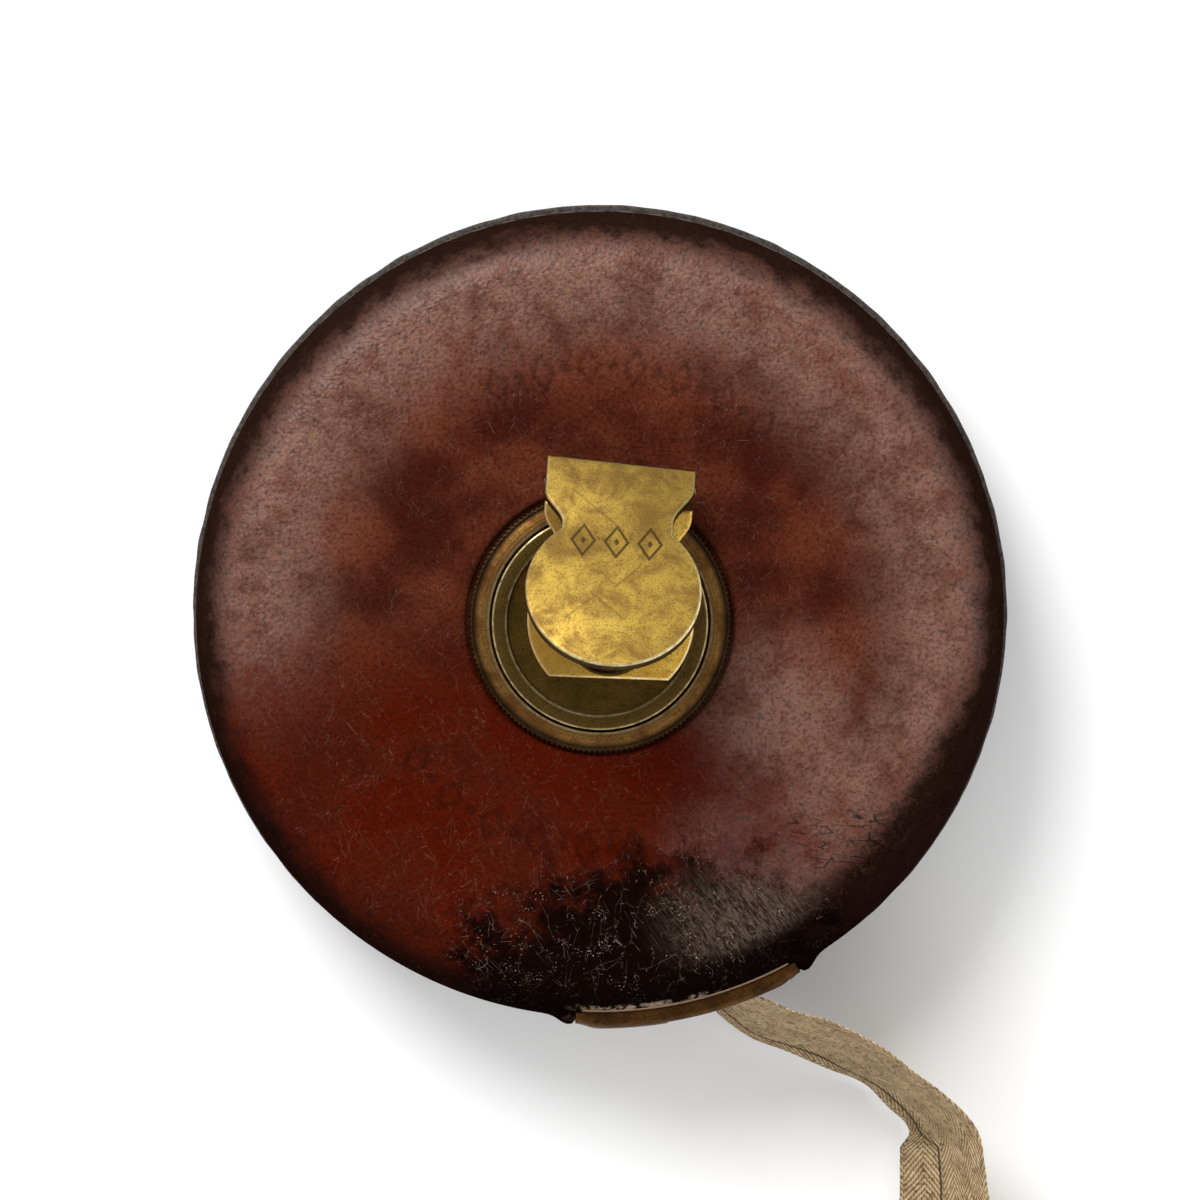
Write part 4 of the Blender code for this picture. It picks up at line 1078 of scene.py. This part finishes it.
def stitches(name, height, mat):
    """A row of waxed stitches round the rim, each a short bent grain almost flush with the leather."""
    bm = bmesh.new()
    first = MOUTH_ANGLE + MOUTH_HALF_SPAN + STITCH_GAP
    last = 360.0 + MOUTH_ANGLE - MOUTH_HALF_SPAN - STITCH_GAP
    for number in range(int((last - first) / STITCH_PITCH)):
        middle = first + STITCH_PITCH * (number + 0.5)
        loops = []
        for step in range(-STITCH_STEPS, STITCH_STEPS + 1):
            share = step / STITCH_STEPS
            angle = math.radians(middle + share * STITCH_PITCH * 0.40 - 90.0)
            thick = 0.30 * MM * math.sqrt(max(1.0 - share**4, 0.02))
            reach = CASE_RADIUS - 0.18 * MM - 0.15 * MM * share**4
            loop = []
            for turn in range(STITCH_SIDES):
                phase = 2 * math.pi * turn / STITCH_SIDES
                radius = reach + thick * math.cos(phase)
                z = height + thick * math.sin(phase) + 0.12 * MM * share
                loop.append(bm.verts.new((radius * math.cos(angle), radius * math.sin(angle), z)))
            loops.append(loop)
        join_loops(bm, loops)
        bm.faces.new(loops[0])
        bm.faces.new(loops[-1])
    return mesh_object(name, bm, mat)


# ---- mouth -----------------------------------------------------------------------------------
PLATE_INNER = 39.12 * MM
PLATE_ROUNDING = ((1.0, 0.0), (1.5, 0.45), (1.8, 1.5), (1.98, 4.1))  # outwards and up, in mm
FLANGE_LEVELS = (5.4 * MM, 16.1 * MM)
FLANGE_REACH = 7.0  # degrees beyond the plate's end
WEB_REACH = 1.2  # degrees inside the plate's end
WEB_RADII = (36.9 * MM, 39.6 * MM)
FLANGE_RADII = (36.95 * MM, 37.65 * MM)
SLOT_RADII = (38.0 * MM, 44.0 * MM)


def plate_section(share):
    """The mouth plate's rounded section, thinner towards both of its ends."""
    taper = 0.45 * MM * smoothstep(0.80, 1.0, abs(2 * share - 1))
    low, high = PLATE_LEVELS
    below = []
    for out, up in PLATE_ROUNDING:
        radius = max(PLATE_INNER + out * MM - taper, PLATE_INNER + 0.5 * MM)
        below.append((radius, low + up * MM))
    above = [(radius, low + high - height) for radius, height in below[::-1]]
    return [(PLATE_INNER, low), *below, *above, (PLATE_INNER, high)]


def add_mouth(brass):
    """Curved brass plate in the mouth, with its slot and the flanges behind the leather."""
    start = MOUTH_ANGLE - MOUTH_HALF_SPAN
    end = MOUTH_ANGLE + MOUTH_HALF_SPAN
    plate = mesh_object("mouth_brass", sweep(plate_section, start, end, 72), brass, 30.0)
    tools = [("DIFFERENCE", sector(*SLOT_RADII, *SLOT_LEVELS, *SLOT_SPAN, 40), (0, 0, 0))]
    for side, edge in ((-1, start), (1, end)):
        web = edge - side * WEB_REACH
        for radii, reach, steps in ((WEB_RADII, 0.0, 4), (FLANGE_RADII, FLANGE_REACH, 20)):
            span = sorted((edge + side * reach, web))
            tools.append(("UNION", sector(*radii, *FLANGE_LEVELS, *span, steps), (0, 0, 0)))
    carve(plate, tools)
    soften(plate, 0.12 * MM, 2)
    settle(plate, "root", "brass", "mouth_plate")


# ---- hub -------------------------------------------------------------------------------------
TEETH = 150  # of the milled edge
BUSH_BORE = 7.2 * MM
BUSH_RADIUS = 11.4 * MM
BUSH_FOOT = 18.3 * MM
RECESS_RADIUS = 9.1 * MM
RECESS_FLOOR = 21.7 * MM
SOCKET_RADIUS = 5.2 * MM
SOCKET_FLOOR = 19.0 * MM
SCREW_RADIUS = 1.4 * MM
RIM_FOOT = 21.0 * MM  # underside of the hub disc's rim
HUB_NECK = 6.9 * MM
HUB_FOOT = 17.8 * MM
# Parts of the turned profiles, as offsets in millimetres from one of their corners.
FLANGE_PROFILE = (
    (0.0, -0.2),
    (0.0, 0.18),
    (-0.12, 0.30),
    (-0.45, 0.36),
    (-0.60, 0.30),
    (-0.75, 0.44),
    (-1.2, 0.60),
)
BUSH_LIP = ((0.50, -0.01), (0.34, 0.0), (0.24, -0.04), (0.20, -0.14))
SOCKET_EDGE = ((0.0, -0.15), (0.15, 0.0))
RECESS_CORNER = ((-0.5, 0.0), (-0.12, 0.05), (0.0, 0.16))
RECESS_LIP = ((0.0, -0.10), (0.04, -0.03), (0.10, 0.0), (0.30, 0.0))
HUB_LIP = ((-0.22, 0.0), (-0.11, -0.02), (-0.03, -0.08), (0.0, -0.18))


def ring_highlights_and_side_shade(obj, radii, width, amount, side_shade_from=None):
    """Painted highlights on the circles where a turned piece has its edges; painted shade outside a
    radius.
    """
    values = []
    side_shade = []
    for vert in obj.data.vertices:
        reach = math.hypot(vert.co.x, vert.co.y)
        value = max(math.exp(-(((reach - radius) / width) ** 2)) for radius in radii)
        values.append(amount * value if vert.co.z > HUB_TOP - 0.4 * MM else 0.0)
        side_shade.append(1.0 if side_shade_from and reach > side_shade_from else 0.0)
    add_values(obj, "edge", values)
    add_values(obj, "side", side_shade)


def add_hub(ring_brass, disc_brass):
    """Fixed ring with a milled edge, and the turning disc inside it."""

    def milled(angle, radius, height):
        if radius < FLANGE_RADIUS - 0.5 * MM:
            return radius
        tooth = abs((angle * TEETH / (2 * math.pi)) % 1.0 - 0.5) * 2
        share = smoothstep(FLANGE_RADIUS - 0.5 * MM, FLANGE_RADIUS, radius)
        return radius - 0.30 * MM * share * tooth

    profile = beside(FLANGE_RADIUS, FACE, FLANGE_PROFILE) + beside(HUB_RADIUS, BUSH_TOP, BUSH_LIP)
    profile += [
        (HUB_RADIUS + 0.20 * MM, FACE - 0.8 * MM),
        (BUSH_BORE, FACE - 0.8 * MM),
        (BUSH_BORE, BUSH_FOOT),
        (BUSH_RADIUS, BUSH_FOOT),
        (BUSH_RADIUS, FACE - 0.2 * MM),
    ]
    ring = mesh_object("hub_ring", lathe(profile, TEETH * 4, milled), ring_brass, 30.0)
    # Painted highlight on the lip circle, and painted shade on the milled edge.
    ring_highlights_and_side_shade(ring, (HUB_RADIUS + 0.35 * MM,), 0.10 * MM, 0.35, FLANGE_RADIUS - 0.8 * MM)
    settle(ring, "root", "brass", "front_escutcheon")

    profile = [(SCREW_RADIUS, SOCKET_FLOOR), (SOCKET_RADIUS, SOCKET_FLOOR)]
    profile += beside(SOCKET_RADIUS, RECESS_FLOOR, SOCKET_EDGE)
    profile += [(6.4 * MM, RECESS_FLOOR), (7.6 * MM, RECESS_FLOOR)]
    profile += beside(RECESS_RADIUS, RECESS_FLOOR, RECESS_CORNER)
    profile += beside(RECESS_RADIUS, HUB_TOP, RECESS_LIP) + beside(HUB_RADIUS, HUB_TOP, HUB_LIP)
    profile += [
        (HUB_RADIUS, RIM_FOOT),
        (HUB_NECK, RIM_FOOT),
        (HUB_NECK, HUB_FOOT),
        (SCREW_RADIUS, HUB_FOOT),
    ]
    disc = mesh_object("hub_turning_disc", lathe(profile, 200), disc_brass, 30.0)
    # Painted highlights on the recess lip and on the disc's outer lip.
    ring_highlights_and_side_shade(disc, (RECESS_RADIUS + 0.06 * MM, HUB_RADIUS - 0.08 * MM), 0.08 * MM, 0.45)
    settle(disc, "spool", "brass", "hub_disc")


# ---- winding handle --------------------------------------------------------------------------
PIN_HOLE = 0.65 * MM
HINGE_RADIUS = 1.0 * MM
HINGE_HALF = 5.8 * MM
EAR_RADIUS = 1.4 * MM
EAR_SPAN = (6.15 * MM, 7.15 * MM)
BASE_THICKNESS = 2.2 * MM
FOOT_DEPTH = 2.7 * MM
FOOT_RADIUS = 7.6 * MM
SOCKET_HOLE = 4.25 * MM
STUD_RADIUS = 1.0 * MM
STUD_END = -4.0 * MM
KNOB_WEAR = 0.25
# Turned profiles in millimetres: (radius, height).
PIN_PROFILE = ((0.0, -7.35), (0.3, -7.35), (0.45, -7.2), (0.45, 7.2), (0.3, 7.35), (0.0, 7.35))
KNOB_PROFILE = (
    (1.25, 1.0),
    (2.0, 1.0),
    (2.2, 0.8),
    (2.2, 0.4),
    (1.8, 0.0),
    (1.8, -0.5),
    (2.3, -1.2),
    (2.75, -1.9),
    (2.8, -2.5),
    (2.7, -3.2),
    (2.45, -3.8),
    (2.2, -4.1),
    (1.9, -4.1),
    (1.9, -3.2),
    (1.25, -3.2),
)


def pin_frame():
    """The hinge pin's frame on the hub: X along the pin, -Y towards the hub's axis."""
    return Matrix.Translation(PIN) @ Matrix.Rotation(HANDLE_YAW, 4, "Z")


def leaf_frame():
    return pin_frame() @ Matrix.Rotation(-HANDLE_LIFT, 4, "X")


def leaf_flank(neck, start, end, steps=14):
    """Right side of a leaf between the tail's width and the neck's."""
    points = []
    for step in range(steps + 1):
        ease = 0.5 + 0.5 * math.cos(math.pi * step / steps)
        points.append((neck + (TAIL - neck) * ease, -start - (end - start) * step / steps))
    return points


def handle_outline():
    """Keyhole outline, counter-clockwise, in the pin's frame; its tail is a little crooked."""
    right = leaf_flank(HANDLE_NECK, *HANDLE_FLANKS[0])
    left = [(-x, y) for x, y in leaf_flank(HANDLE_NECK, *HANDLE_FLANKS[1])[::-1]]
    meet = math.degrees(math.asin(HANDLE_NECK / HANDLE_DISC))
    disc = arc((0.0, -LEAF_REACH), HANDLE_DISC, 90.0 - meet, -270.0 + meet, 90)
    tail = [(-TAIL, TAIL_END + TAIL_SKEW), (TAIL, TAIL_END - TAIL_SKEW)]
    return resample((tail + right + disc + left)[::-1], LEAF_SPACING)


def flat_end(radius):
    """Angles in degrees, about the disc's centre, where the base leaf's flat end meets a circle."""
    turn = math.degrees(BASE_FLAT_TURN)
    reach = (BASE_FLAT - LEAF_REACH) * math.cos(BASE_FLAT_TURN)
    cut = math.degrees(math.asin(reach / radius))
    return turn - cut, 180.0 + turn + cut


def base_outline():
    """The base leaf: a keyhole with a slightly skewed flat end, counter-clockwise."""
    flank = leaf_flank(BASE_NECK, *BASE_FLANK)
    right_cut, left_cut = flat_end(BASE_DISC)
    meet = math.degrees(math.asin(BASE_NECK / BASE_DISC))
    centre = (0.0, -LEAF_REACH)
    right = arc(centre, BASE_DISC, 90.0 - meet, right_cut, 36)
    left = arc(centre, BASE_DISC, left_cut - 360.0, -270.0 + meet, 36)
    rear = [(-x, y) for x, y in flank[::-1]]
    outline = [(TAIL, -BASE_START), *flank, *right, *left, *rear, (-TAIL, -BASE_START)]
    return resample(outline[::-1], LEAF_SPACING)


def resample(outline, spacing):
    """The same closed outline with extra points on its long sides."""
    points = []
    for here, there in zip(outline, outline[1:] + outline[:1]):
        run = math.dist(here, there)
        if run < 0.02 * MM:
            continue
        steps = max(1, round(run / spacing))
        for step in range(steps):
            t = step / steps
            points.append((here[0] + (there[0] - here[0]) * t, here[1] + (there[1] - here[1]) * t))
    return points


def inward(outline, distance):
    """Move a counter-clockwise outline inwards by a distance, mitred at its corners."""
    moved = []
    count = len(outline)
    for index in range(count):
        here = Vector(outline[index])
        back = (here - Vector(outline[index - 1])).normalized()
        on = (Vector(outline[(index + 1) % count]) - here).normalized()
        normal = Vector((-back.y - on.y, back.x + on.x))
        if normal.length < 1e-6:
            normal = Vector((-on.y, on.x))
        normal.normalize()
        stretch = max(normal.dot(Vector((-on.y, on.x))), 0.5)
        moved.append(tuple(here + normal * distance / stretch))
    return moved


def leaf_plate(name, outline, low, high, mat):
    """Flat brass leaf with rounded edges: a painted highlight with edge wear along the rounding,
    brightest at the lower right, and painted shade on its side faces.
    """
    rounding = 0.22 * MM
    steps = ((0.0, 1.0, 0.0), (0.06, 0.55, 1.0), (0.16, 0.2, 0.6), (0.30, 0.0, 0.0))
    bm = bmesh.new()
    edge = bm.verts.layers.float.new("edge")
    side = bm.verts.layers.float.new("side")
    highlight_side = Vector((0.75, -0.66))

    def loop(inset, height, wear):
        verts = []
        for x, y in inward(outline, inset * MM) if inset else outline:
            vert = bm.verts.new((x, y, height))
            outwards = Vector((x, y + LEAF_REACH)).normalized()
            # Painted highlight along the rounding, strongest on the side towards the lower right.
            vert[edge] = wear * (0.25 + 0.75 * smoothstep(-0.2, 0.9, outwards.dot(highlight_side)))
            # Marks the side faces for painted shade.
            vert[side] = 1.0 if inset == 0.0 else 0.0
            verts.append(vert)
        return verts

    top = [loop(inset, high - drop * rounding, wear) for inset, drop, wear in steps]
    bottom = [loop(inset, low + drop * rounding, wear * 0.3) for inset, drop, wear in steps]
    join_loops(bm, bottom[::-1] + top)
    for verts in (top[-1], bottom[-1]):
        fill_end(bm, verts, tessellate_polygon([[vert.co for vert in verts]]))
    return mesh_object(name, bm, mat, 50.0)


def ear_block(side):
    """An ear bent down from the tail, around the pin."""
    radius = EAR_RADIUS
    back = TAIL_END - TAIL_SKEW
    outline = [(back, UNDERSIDE + 0.4 * MM), (-radius, UNDERSIDE + 0.4 * MM)]
    outline += arc((0.0, 0.0), radius, 180.0, 360.0, 20)
    outline += [(radius, 0.3 * MM), (back, 0.9 * MM)]
    bm = bmesh.new()
    loops = [[bm.verts.new((x * side, y, z)) for y, z in outline] for x in EAR_SPAN]
    triangles = tessellate_polygon([[Vector((y, z, 0.0)) for y, z in outline]])
    for verts in loops:
        fill_end(bm, verts, triangles)
    join_loops(bm, loops)
    return bm


def add_handle(plate_brass, base_brass, steel):
    base = leaf_plate("base_leaf", base_outline(), -BASE_THICKNESS, 0.0, base_brass)
    low = (-HINGE_HALF, -BASE_START - 0.5 * MM, -0.9 * MM)
    tools = [
        ("UNION", block(low, (HINGE_HALF, -0.2 * MM, -0.1 * MM)), (0, 0, 0)),
        ("UNION", cylinder(HINGE_RADIUS, -HINGE_HALF, HINGE_HALF, 40, "X"), (0, 0, 0)),
        ("DIFFERENCE", cylinder(PIN_HOLE, -9 * MM, 9 * MM, 32, "X"), (0, 0, 0)),
        ("UNION", foot_block(FOOT_DEPTH), (0, 0, 0)),
        ("DIFFERENCE", cylinder(SOCKET_HOLE, -5 * MM, 1 * MM, 96), (0, -SOCKET_REACH, 0)),
    ]
    for side in (-1, 1):
        spot = (side * BASE_RIVET[0], BASE_RIVET[1], 0)
        tools.append(("DIFFERENCE", cylinder(0.8 * MM, -4 * MM, 1 * MM, 24), spot))
        tools.append(("DIFFERENCE", cylinder(1.4 * MM, -0.9 * MM, 1 * MM, 32), spot))
    carve(base, tools)
    base.data.set_sharp_from_angle(angle=math.radians(40))
    place(base, pin_frame())
    settle(base, "spool", "brass", "handle_base")

    handle = leaf_plate("folding_leaf", handle_outline(), UNDERSIDE, LEAF_TOP, plate_brass)
    tools = [("UNION", ear_block(side), (0, 0, 0)) for side in (-1, 1)]
    stud = cylinder(STUD_RADIUS, STUD_END, UNDERSIDE + 0.3 * MM, 32)
    tools.append(("UNION", stud, (0, -SOCKET_REACH, 0)))
    tools.append(("DIFFERENCE", cylinder(PIN_HOLE, -9 * MM, 9 * MM, 32, "X"), (0, 0, 0)))
    carve(handle, tools)
    handle.data.set_sharp_from_angle(angle=math.radians(40))
    place(handle, leaf_frame())
    settle(handle, "handle", "brass", "handle_plate")

    bm = along_x(lathe(in_mm(PIN_PROFILE), 32))
    rod = mesh_object("hinge_rod", bm, steel)
    place(rod, leaf_frame())
    settle(rod, "handle", "steel", "hinge_pin")
    add_knob(plate_brass)


def foot_block(depth):
    """Round foot under the base leaf, cut off in line with its flat end."""
    outline = arc((0.0, -LEAF_REACH), FOOT_RADIUS, *flat_end(FOOT_RADIUS), 60)
    bm = bmesh.new()
    loops = [[bm.verts.new((x, y, z)) for x, y in outline] for z in (-depth, -1.5 * MM)]
    for verts in loops:
        bm.faces.new(verts)
    join_loops(bm, loops)
    return bm


def add_knob(brass):
    """Turned winding knob on the stud under the leaf."""
    knob = mesh_object("turned_knob", lathe(rounded(in_mm(KNOB_PROFILE), 0.2 * MM), 64), brass, 50.0)
    add_values(knob, "edge", [KNOB_WEAR] * len(knob.data.vertices))
    place(knob, leaf_frame() @ Matrix.Translation((0, -SOCKET_REACH, 0)))
    settle(knob, "knob", "brass", "winding_knob")


# ---- tape ------------------------------------------------------------------------------------
# Distances in front of the hub's axis, where the tape's shape changes.
EXIT_STRETCH = (43.0 * MM, 49.0 * MM)
FOLD_STARTS = (53.0 * MM, 55.6 * MM)
FLARE_ENDS = (60.0 * MM, 64.0 * MM)
FOLD_ENDS = (64.0 * MM, 80.0 * MM)
FOLD_TURN = 34.0  # degrees that the folded half turns outwards
TAPE_COLUMNS = 32
CLIP_LENGTH = (-1.0 * MM, 6.5 * MM)
CLIP_HALF_HEIGHT = 1.0 * MM
BARREL = (0, -4.0 * MM, 0.9 * MM)
BARREL_RADII = (1.15 * MM, 1.9 * MM)
RING_HALF, RING_DEPTH, RING_CORNER = 8.5 * MM, 14.0 * MM, 2.2 * MM
WIRE = 0.8 * MM
WIRE_SIDES = 20
RING_SLOPE = math.radians(4.5)


def smooth_route(route, per_span):
    """Catmull-Rom curve through the route's points, in all four values."""
    padded = [route[0], *route, route[-1]]
    points = []
    for index in range(1, len(padded) - 2):
        p0, p1, p2, p3 = padded[index - 1 : index + 3]
        for step in range(per_span):
            t = step / per_span
            values = []
            for a, b, c, d in zip(p0, p1, p2, p3):
                bend = (2 * a - 5 * b + 4 * c - d) * t * t + (3 * b - a - 3 * c + d) * t**3
                values.append(0.5 * (2 * b + (c - a) * t + bend))
            points.append(values)
    points.append(list(route[-1]))
    return points


def fold_share(y):
    """1 where the tape's lower half is folded out, after it has turned away from the case."""
    return smoothstep(*FOLD_STARTS, -y) * (1.0 - smoothstep(*FOLD_ENDS, -y))


def tape_section(lean, y, columns):
    """Points across the tape as (height share, sideways share).

    Its lower border flares out; where the tape turns away from the case, its upper half stands
    steep and its lower half is folded out into a lobe.
    """
    fold = fold_share(y)
    flare = (1.0 - fold) * (1.0 - smoothstep(*FLARE_ENDS, -y))
    flare *= 14.0 + 30.0 * noise.noise(Vector((y * 230, 2.0, 0.0)))
    exit_lean = 2.0 * (1.0 - smoothstep(*EXIT_STRETCH, -y))
    step = 2.0 / columns
    up, aside = [0.0], [0.0]
    for column in range(columns):
        share = -1.0 + step * (column + 0.5)
        degrees = lean + exit_lean - 4.0 * fold
        degrees += FOLD_TURN * fold * smoothstep(0.15, 0.5, -share)
        degrees += flare * smoothstep(0.6, 0.82, -share)
        up.append(up[-1] + step * math.cos(math.radians(degrees)))
        aside.append(aside[-1] + step * math.sin(math.radians(degrees)))
    middle = columns // 2
    return [(u - up[middle], a - aside[middle]) for u, a in zip(up, aside)]


def tape_strip(name, points, mat):
    """Closed woven strip: fine across its width, slightly wavy, with its own coordinates."""
    columns = TAPE_COLUMNS
    half = TAPE_WIDTH / 2
    total = points_length(points)
    bm = bmesh.new()
    layer = bm.verts.layers.float_vector.new("strip")
    loops = []
    run = 0.0
    for index, (x, y, z, lean) in enumerate(points):
        before = points[max(index - 1, 0)]
        after = points[min(index + 1, len(points) - 1)]
        if index:
            run += math.dist(points[index][:3], points[index - 1][:3])
        along = Vector((after[0] - before[0], after[1] - before[1], 0.0)).normalized()
        left = Vector((-along.y, along.x, 0.0))
        centre = Vector((x, y, z))
        shape = tape_section(lean, y, columns)
        calm = smoothstep(0.0, 10 * MM, run) * smoothstep(0.0, 14 * MM, total - run)
        loop = []
        for side in (1, -1):
            for column in range(columns + 1)[::side]:
                share = 2 * column / columns - 1
                up, aside = shape[column]
                ahead = shape[min(column + 1, columns)]
                behind = shape[max(column - 1, 0)]
                across = Vector((0.0, 0.0, ahead[0] - behind[0])) + left * (ahead[1] - behind[1])
                normal = along.cross(across).normalized()
                thick = TAPE_THICKNESS / 2 * (1 - 0.55 * abs(share) ** 6)
                wave = calm * tape_wave(run, share)
                point = centre + Vector((0.0, 0.0, up * half)) + left * aside * half
                vert = bm.verts.new(point + normal * (side * thick + wave))
                border = (1 - abs(share)) * half * TO_MM
                # On the folded half the border line moves onto the crease, as painted shade.
                if share < 0.0:
                    border -= 3.4 * fold_share(y)
                vert[layer] = (run * TO_MM, share * half * TO_MM, border)
                loop.append(vert)
        loops.append(loop)
    join_loops(bm, loops)
    bm.faces.new(loops[0])
    bm.faces.new(loops[-1])
    return mesh_object(name, bm, mat, 80.0)


def tape_wave(run, share):
    """Sideways waviness of the old tape, strongest at its edges."""
    small = 0.16 * MM * noise.noise(Vector((run * 260, share * 2.2, 5.0)))
    large = 0.45 * MM * abs(share) * noise.noise(Vector((run * 150, share * 0.8, 9.0)))
    return small + large


def points_length(points):
    return sum(math.dist(a[:3], b[:3]) for a, b in zip(points, points[1:]))


def add_tape(linen, brass):
    points = smooth_route(TAPE_ROUTE, 22)
    tape = tape_strip("woven_tape", points, linen)
    settle(tape, "root", "linen", "tape_free_end")
    clip = add_end_clip(brass)
    ring = add_end_ring(brass)
    lead = frame["nodes"]["tape_lead"]
    lead.data.materials.clear()
    lead.data.materials.append(linen)


def add_end_clip(brass):
    """Folded brass clip on the end of the tape, with a rolled barrel for the ring."""
    x, y, z, _ = TAPE_ROUTE[-1]
    half = TAPE_WIDTH / 2 + 0.6 * MM
    near, far = CLIP_LENGTH
    high = CLIP_HALF_HEIGHT
    clip = mesh_object("folded_clip", block((-half, near, -high), (half, far, high)), brass)
    neck = block((-5.8 * MM, -4.2 * MM, -0.9 * MM), (5.8 * MM, -0.6 * MM, 0.9 * MM))
    gap = block((-10 * MM, -0.4 * MM, -0.44 * MM), (10 * MM, 8 * MM, 0.44 * MM))
    bore, roll = BARREL_RADII
    tools = [
        ("UNION", neck, (0, 0, 0)),
        ("DIFFERENCE", gap, (0, 0, 0)),
        ("UNION", cylinder(roll, -5.95 * MM, 5.95 * MM, 48, "X"), BARREL),
        ("DIFFERENCE", cylinder(bore, -20 * MM, 20 * MM, 48, "X"), BARREL),
        ("DIFFERENCE", cylinder(0.8 * MM, -2 * MM, 2 * MM, 24), (0, 3.2 * MM, 0)),
    ]
    carve(clip, tools)
    soften(clip, 0.12 * MM, 2)
    place(clip, Matrix.Translation((x, y, z)))
    return settle(clip, "root", "brass", "tape_end_clip")


def add_end_ring(brass):
    """Wire loop through the clip's barrel."""
    half, corner = RING_HALF, RING_CORNER
    path = [(-half + corner, 0.0), (0.0, 0.0), (half - corner, 0.0)]
    path += arc((half - corner, -corner), corner, 78.0, 0.0, 8)
    path += arc((0.0, -RING_DEPTH + half), half, 0.0, -180.0, 40)
    path += arc((-half + corner, -corner), corner, 180.0, 102.0, 8)
    bm = bmesh.new()
    loops = []
    for index, (x, y) in enumerate(path):
        back = Vector(path[index - 1])
        on = Vector(path[(index + 1) % len(path)])
        run = (on - back).normalized()
        side = Vector((-run.y, run.x, 0.0))
        loop = []
        for turn in range(WIRE_SIDES):
            phase = 2 * math.pi * turn / WIRE_SIDES
            offset = side * math.cos(phase) + Vector((0, 0, 1)) * math.sin(phase)
            loop.append(bm.verts.new(Vector((x, y, 0.0)) + offset * WIRE))
        loops.append(loop)
    join_loops(bm, [*loops, loops[0]])
    ring = mesh_object("wire_ring", bm, brass, 60.0)
    place(ring, Matrix.Translation(RING_PIVOT) @ Matrix.Rotation(RING_SLOPE, 4, "X"))
    return settle(ring, "end_ring", "brass", "tape_end_ring")


# ---- the CAD nodes that stay -----------------------------------------------------------------
def repaint(names, mat, bevel=0.0):
    for name in names:
        node = frame["nodes"][name]
        node.data.materials.clear()
        node.data.materials.append(mat)
        node.data.shade_smooth()
        node.data.set_sharp_from_angle(angle=math.radians(35))
        if bevel:
            modifier = node.modifiers.new("soften", "BEVEL")
            modifier.width = bevel
            modifier.segments = 2
            modifier.limit_method = "ANGLE"
            modifier.angle_limit = math.radians(35)


def main():
    add_camera()
    add_studio()
    leather = leather_material()
    raw_edge = raw_edge_material()
    thread = thread_material()
    linen = linen_material()
    steel = steel_material()
    plate_brass = brass_material(
        "handle_brass", "a3863a", "7d602b", "52401c", 0.50, shade=handle_shade, marks=handle_marks
    )
    base_brass = brass_material("base_brass", "f2c654", "cf9b2c", "6b4c14", 0.34, 0.5, shade=base_shade)
    ring_brass = brass_material("ring_brass", "7a5728", "56350f", "351f07", 0.38, rings=0.35)
    disc_brass = brass_material("disc_brass", "6e5224", "4e3a12", "302008", 0.33, rings=0.30)
    mouth_brass = brass_material("mouth_brass_finish", "5a3a18", "38210c", "1c1006", 0.45, dirt=0.8)
    plain_brass = brass_material("plain_brass", "a88c4c", "7d6634", "4a3a1c", 0.38)

    add_case(leather, raw_edge, welt_material(), thread)
    add_mouth(mouth_brass)
    add_hub(ring_brass, disc_brass)
    add_handle(plate_brass, base_brass, steel)
    add_tape(linen, plain_brass)

    rivets = [f"mouth_rivet_{number}" for number in range(1, 5)]
    repaint(rivets, mouth_brass, 0.08 * MM)
    repaint(["back_escutcheon"], plain_brass, 0.2 * MM)
    repaint(["front_backing_ring", "back_backing_ring", "knob_keeper"], plain_brass)
    repaint(["base_rivet_left", "base_rivet_right"], base_brass, 0.08 * MM)
    repaint(["tape_end_rivet"], plain_brass, 0.1 * MM)
    repaint(["spindle", "drive_dowel", "hub_screw", "drum_pin", "tape_anchor_pin"], steel)
    repaint(["drum"], wood_material())
    repaint(["front_washer", "back_washer"], fibre_material())
    repaint(["tape_coil"], linen)
    bpy.context.scene.view_settings.view_transform = "Standard"


main()
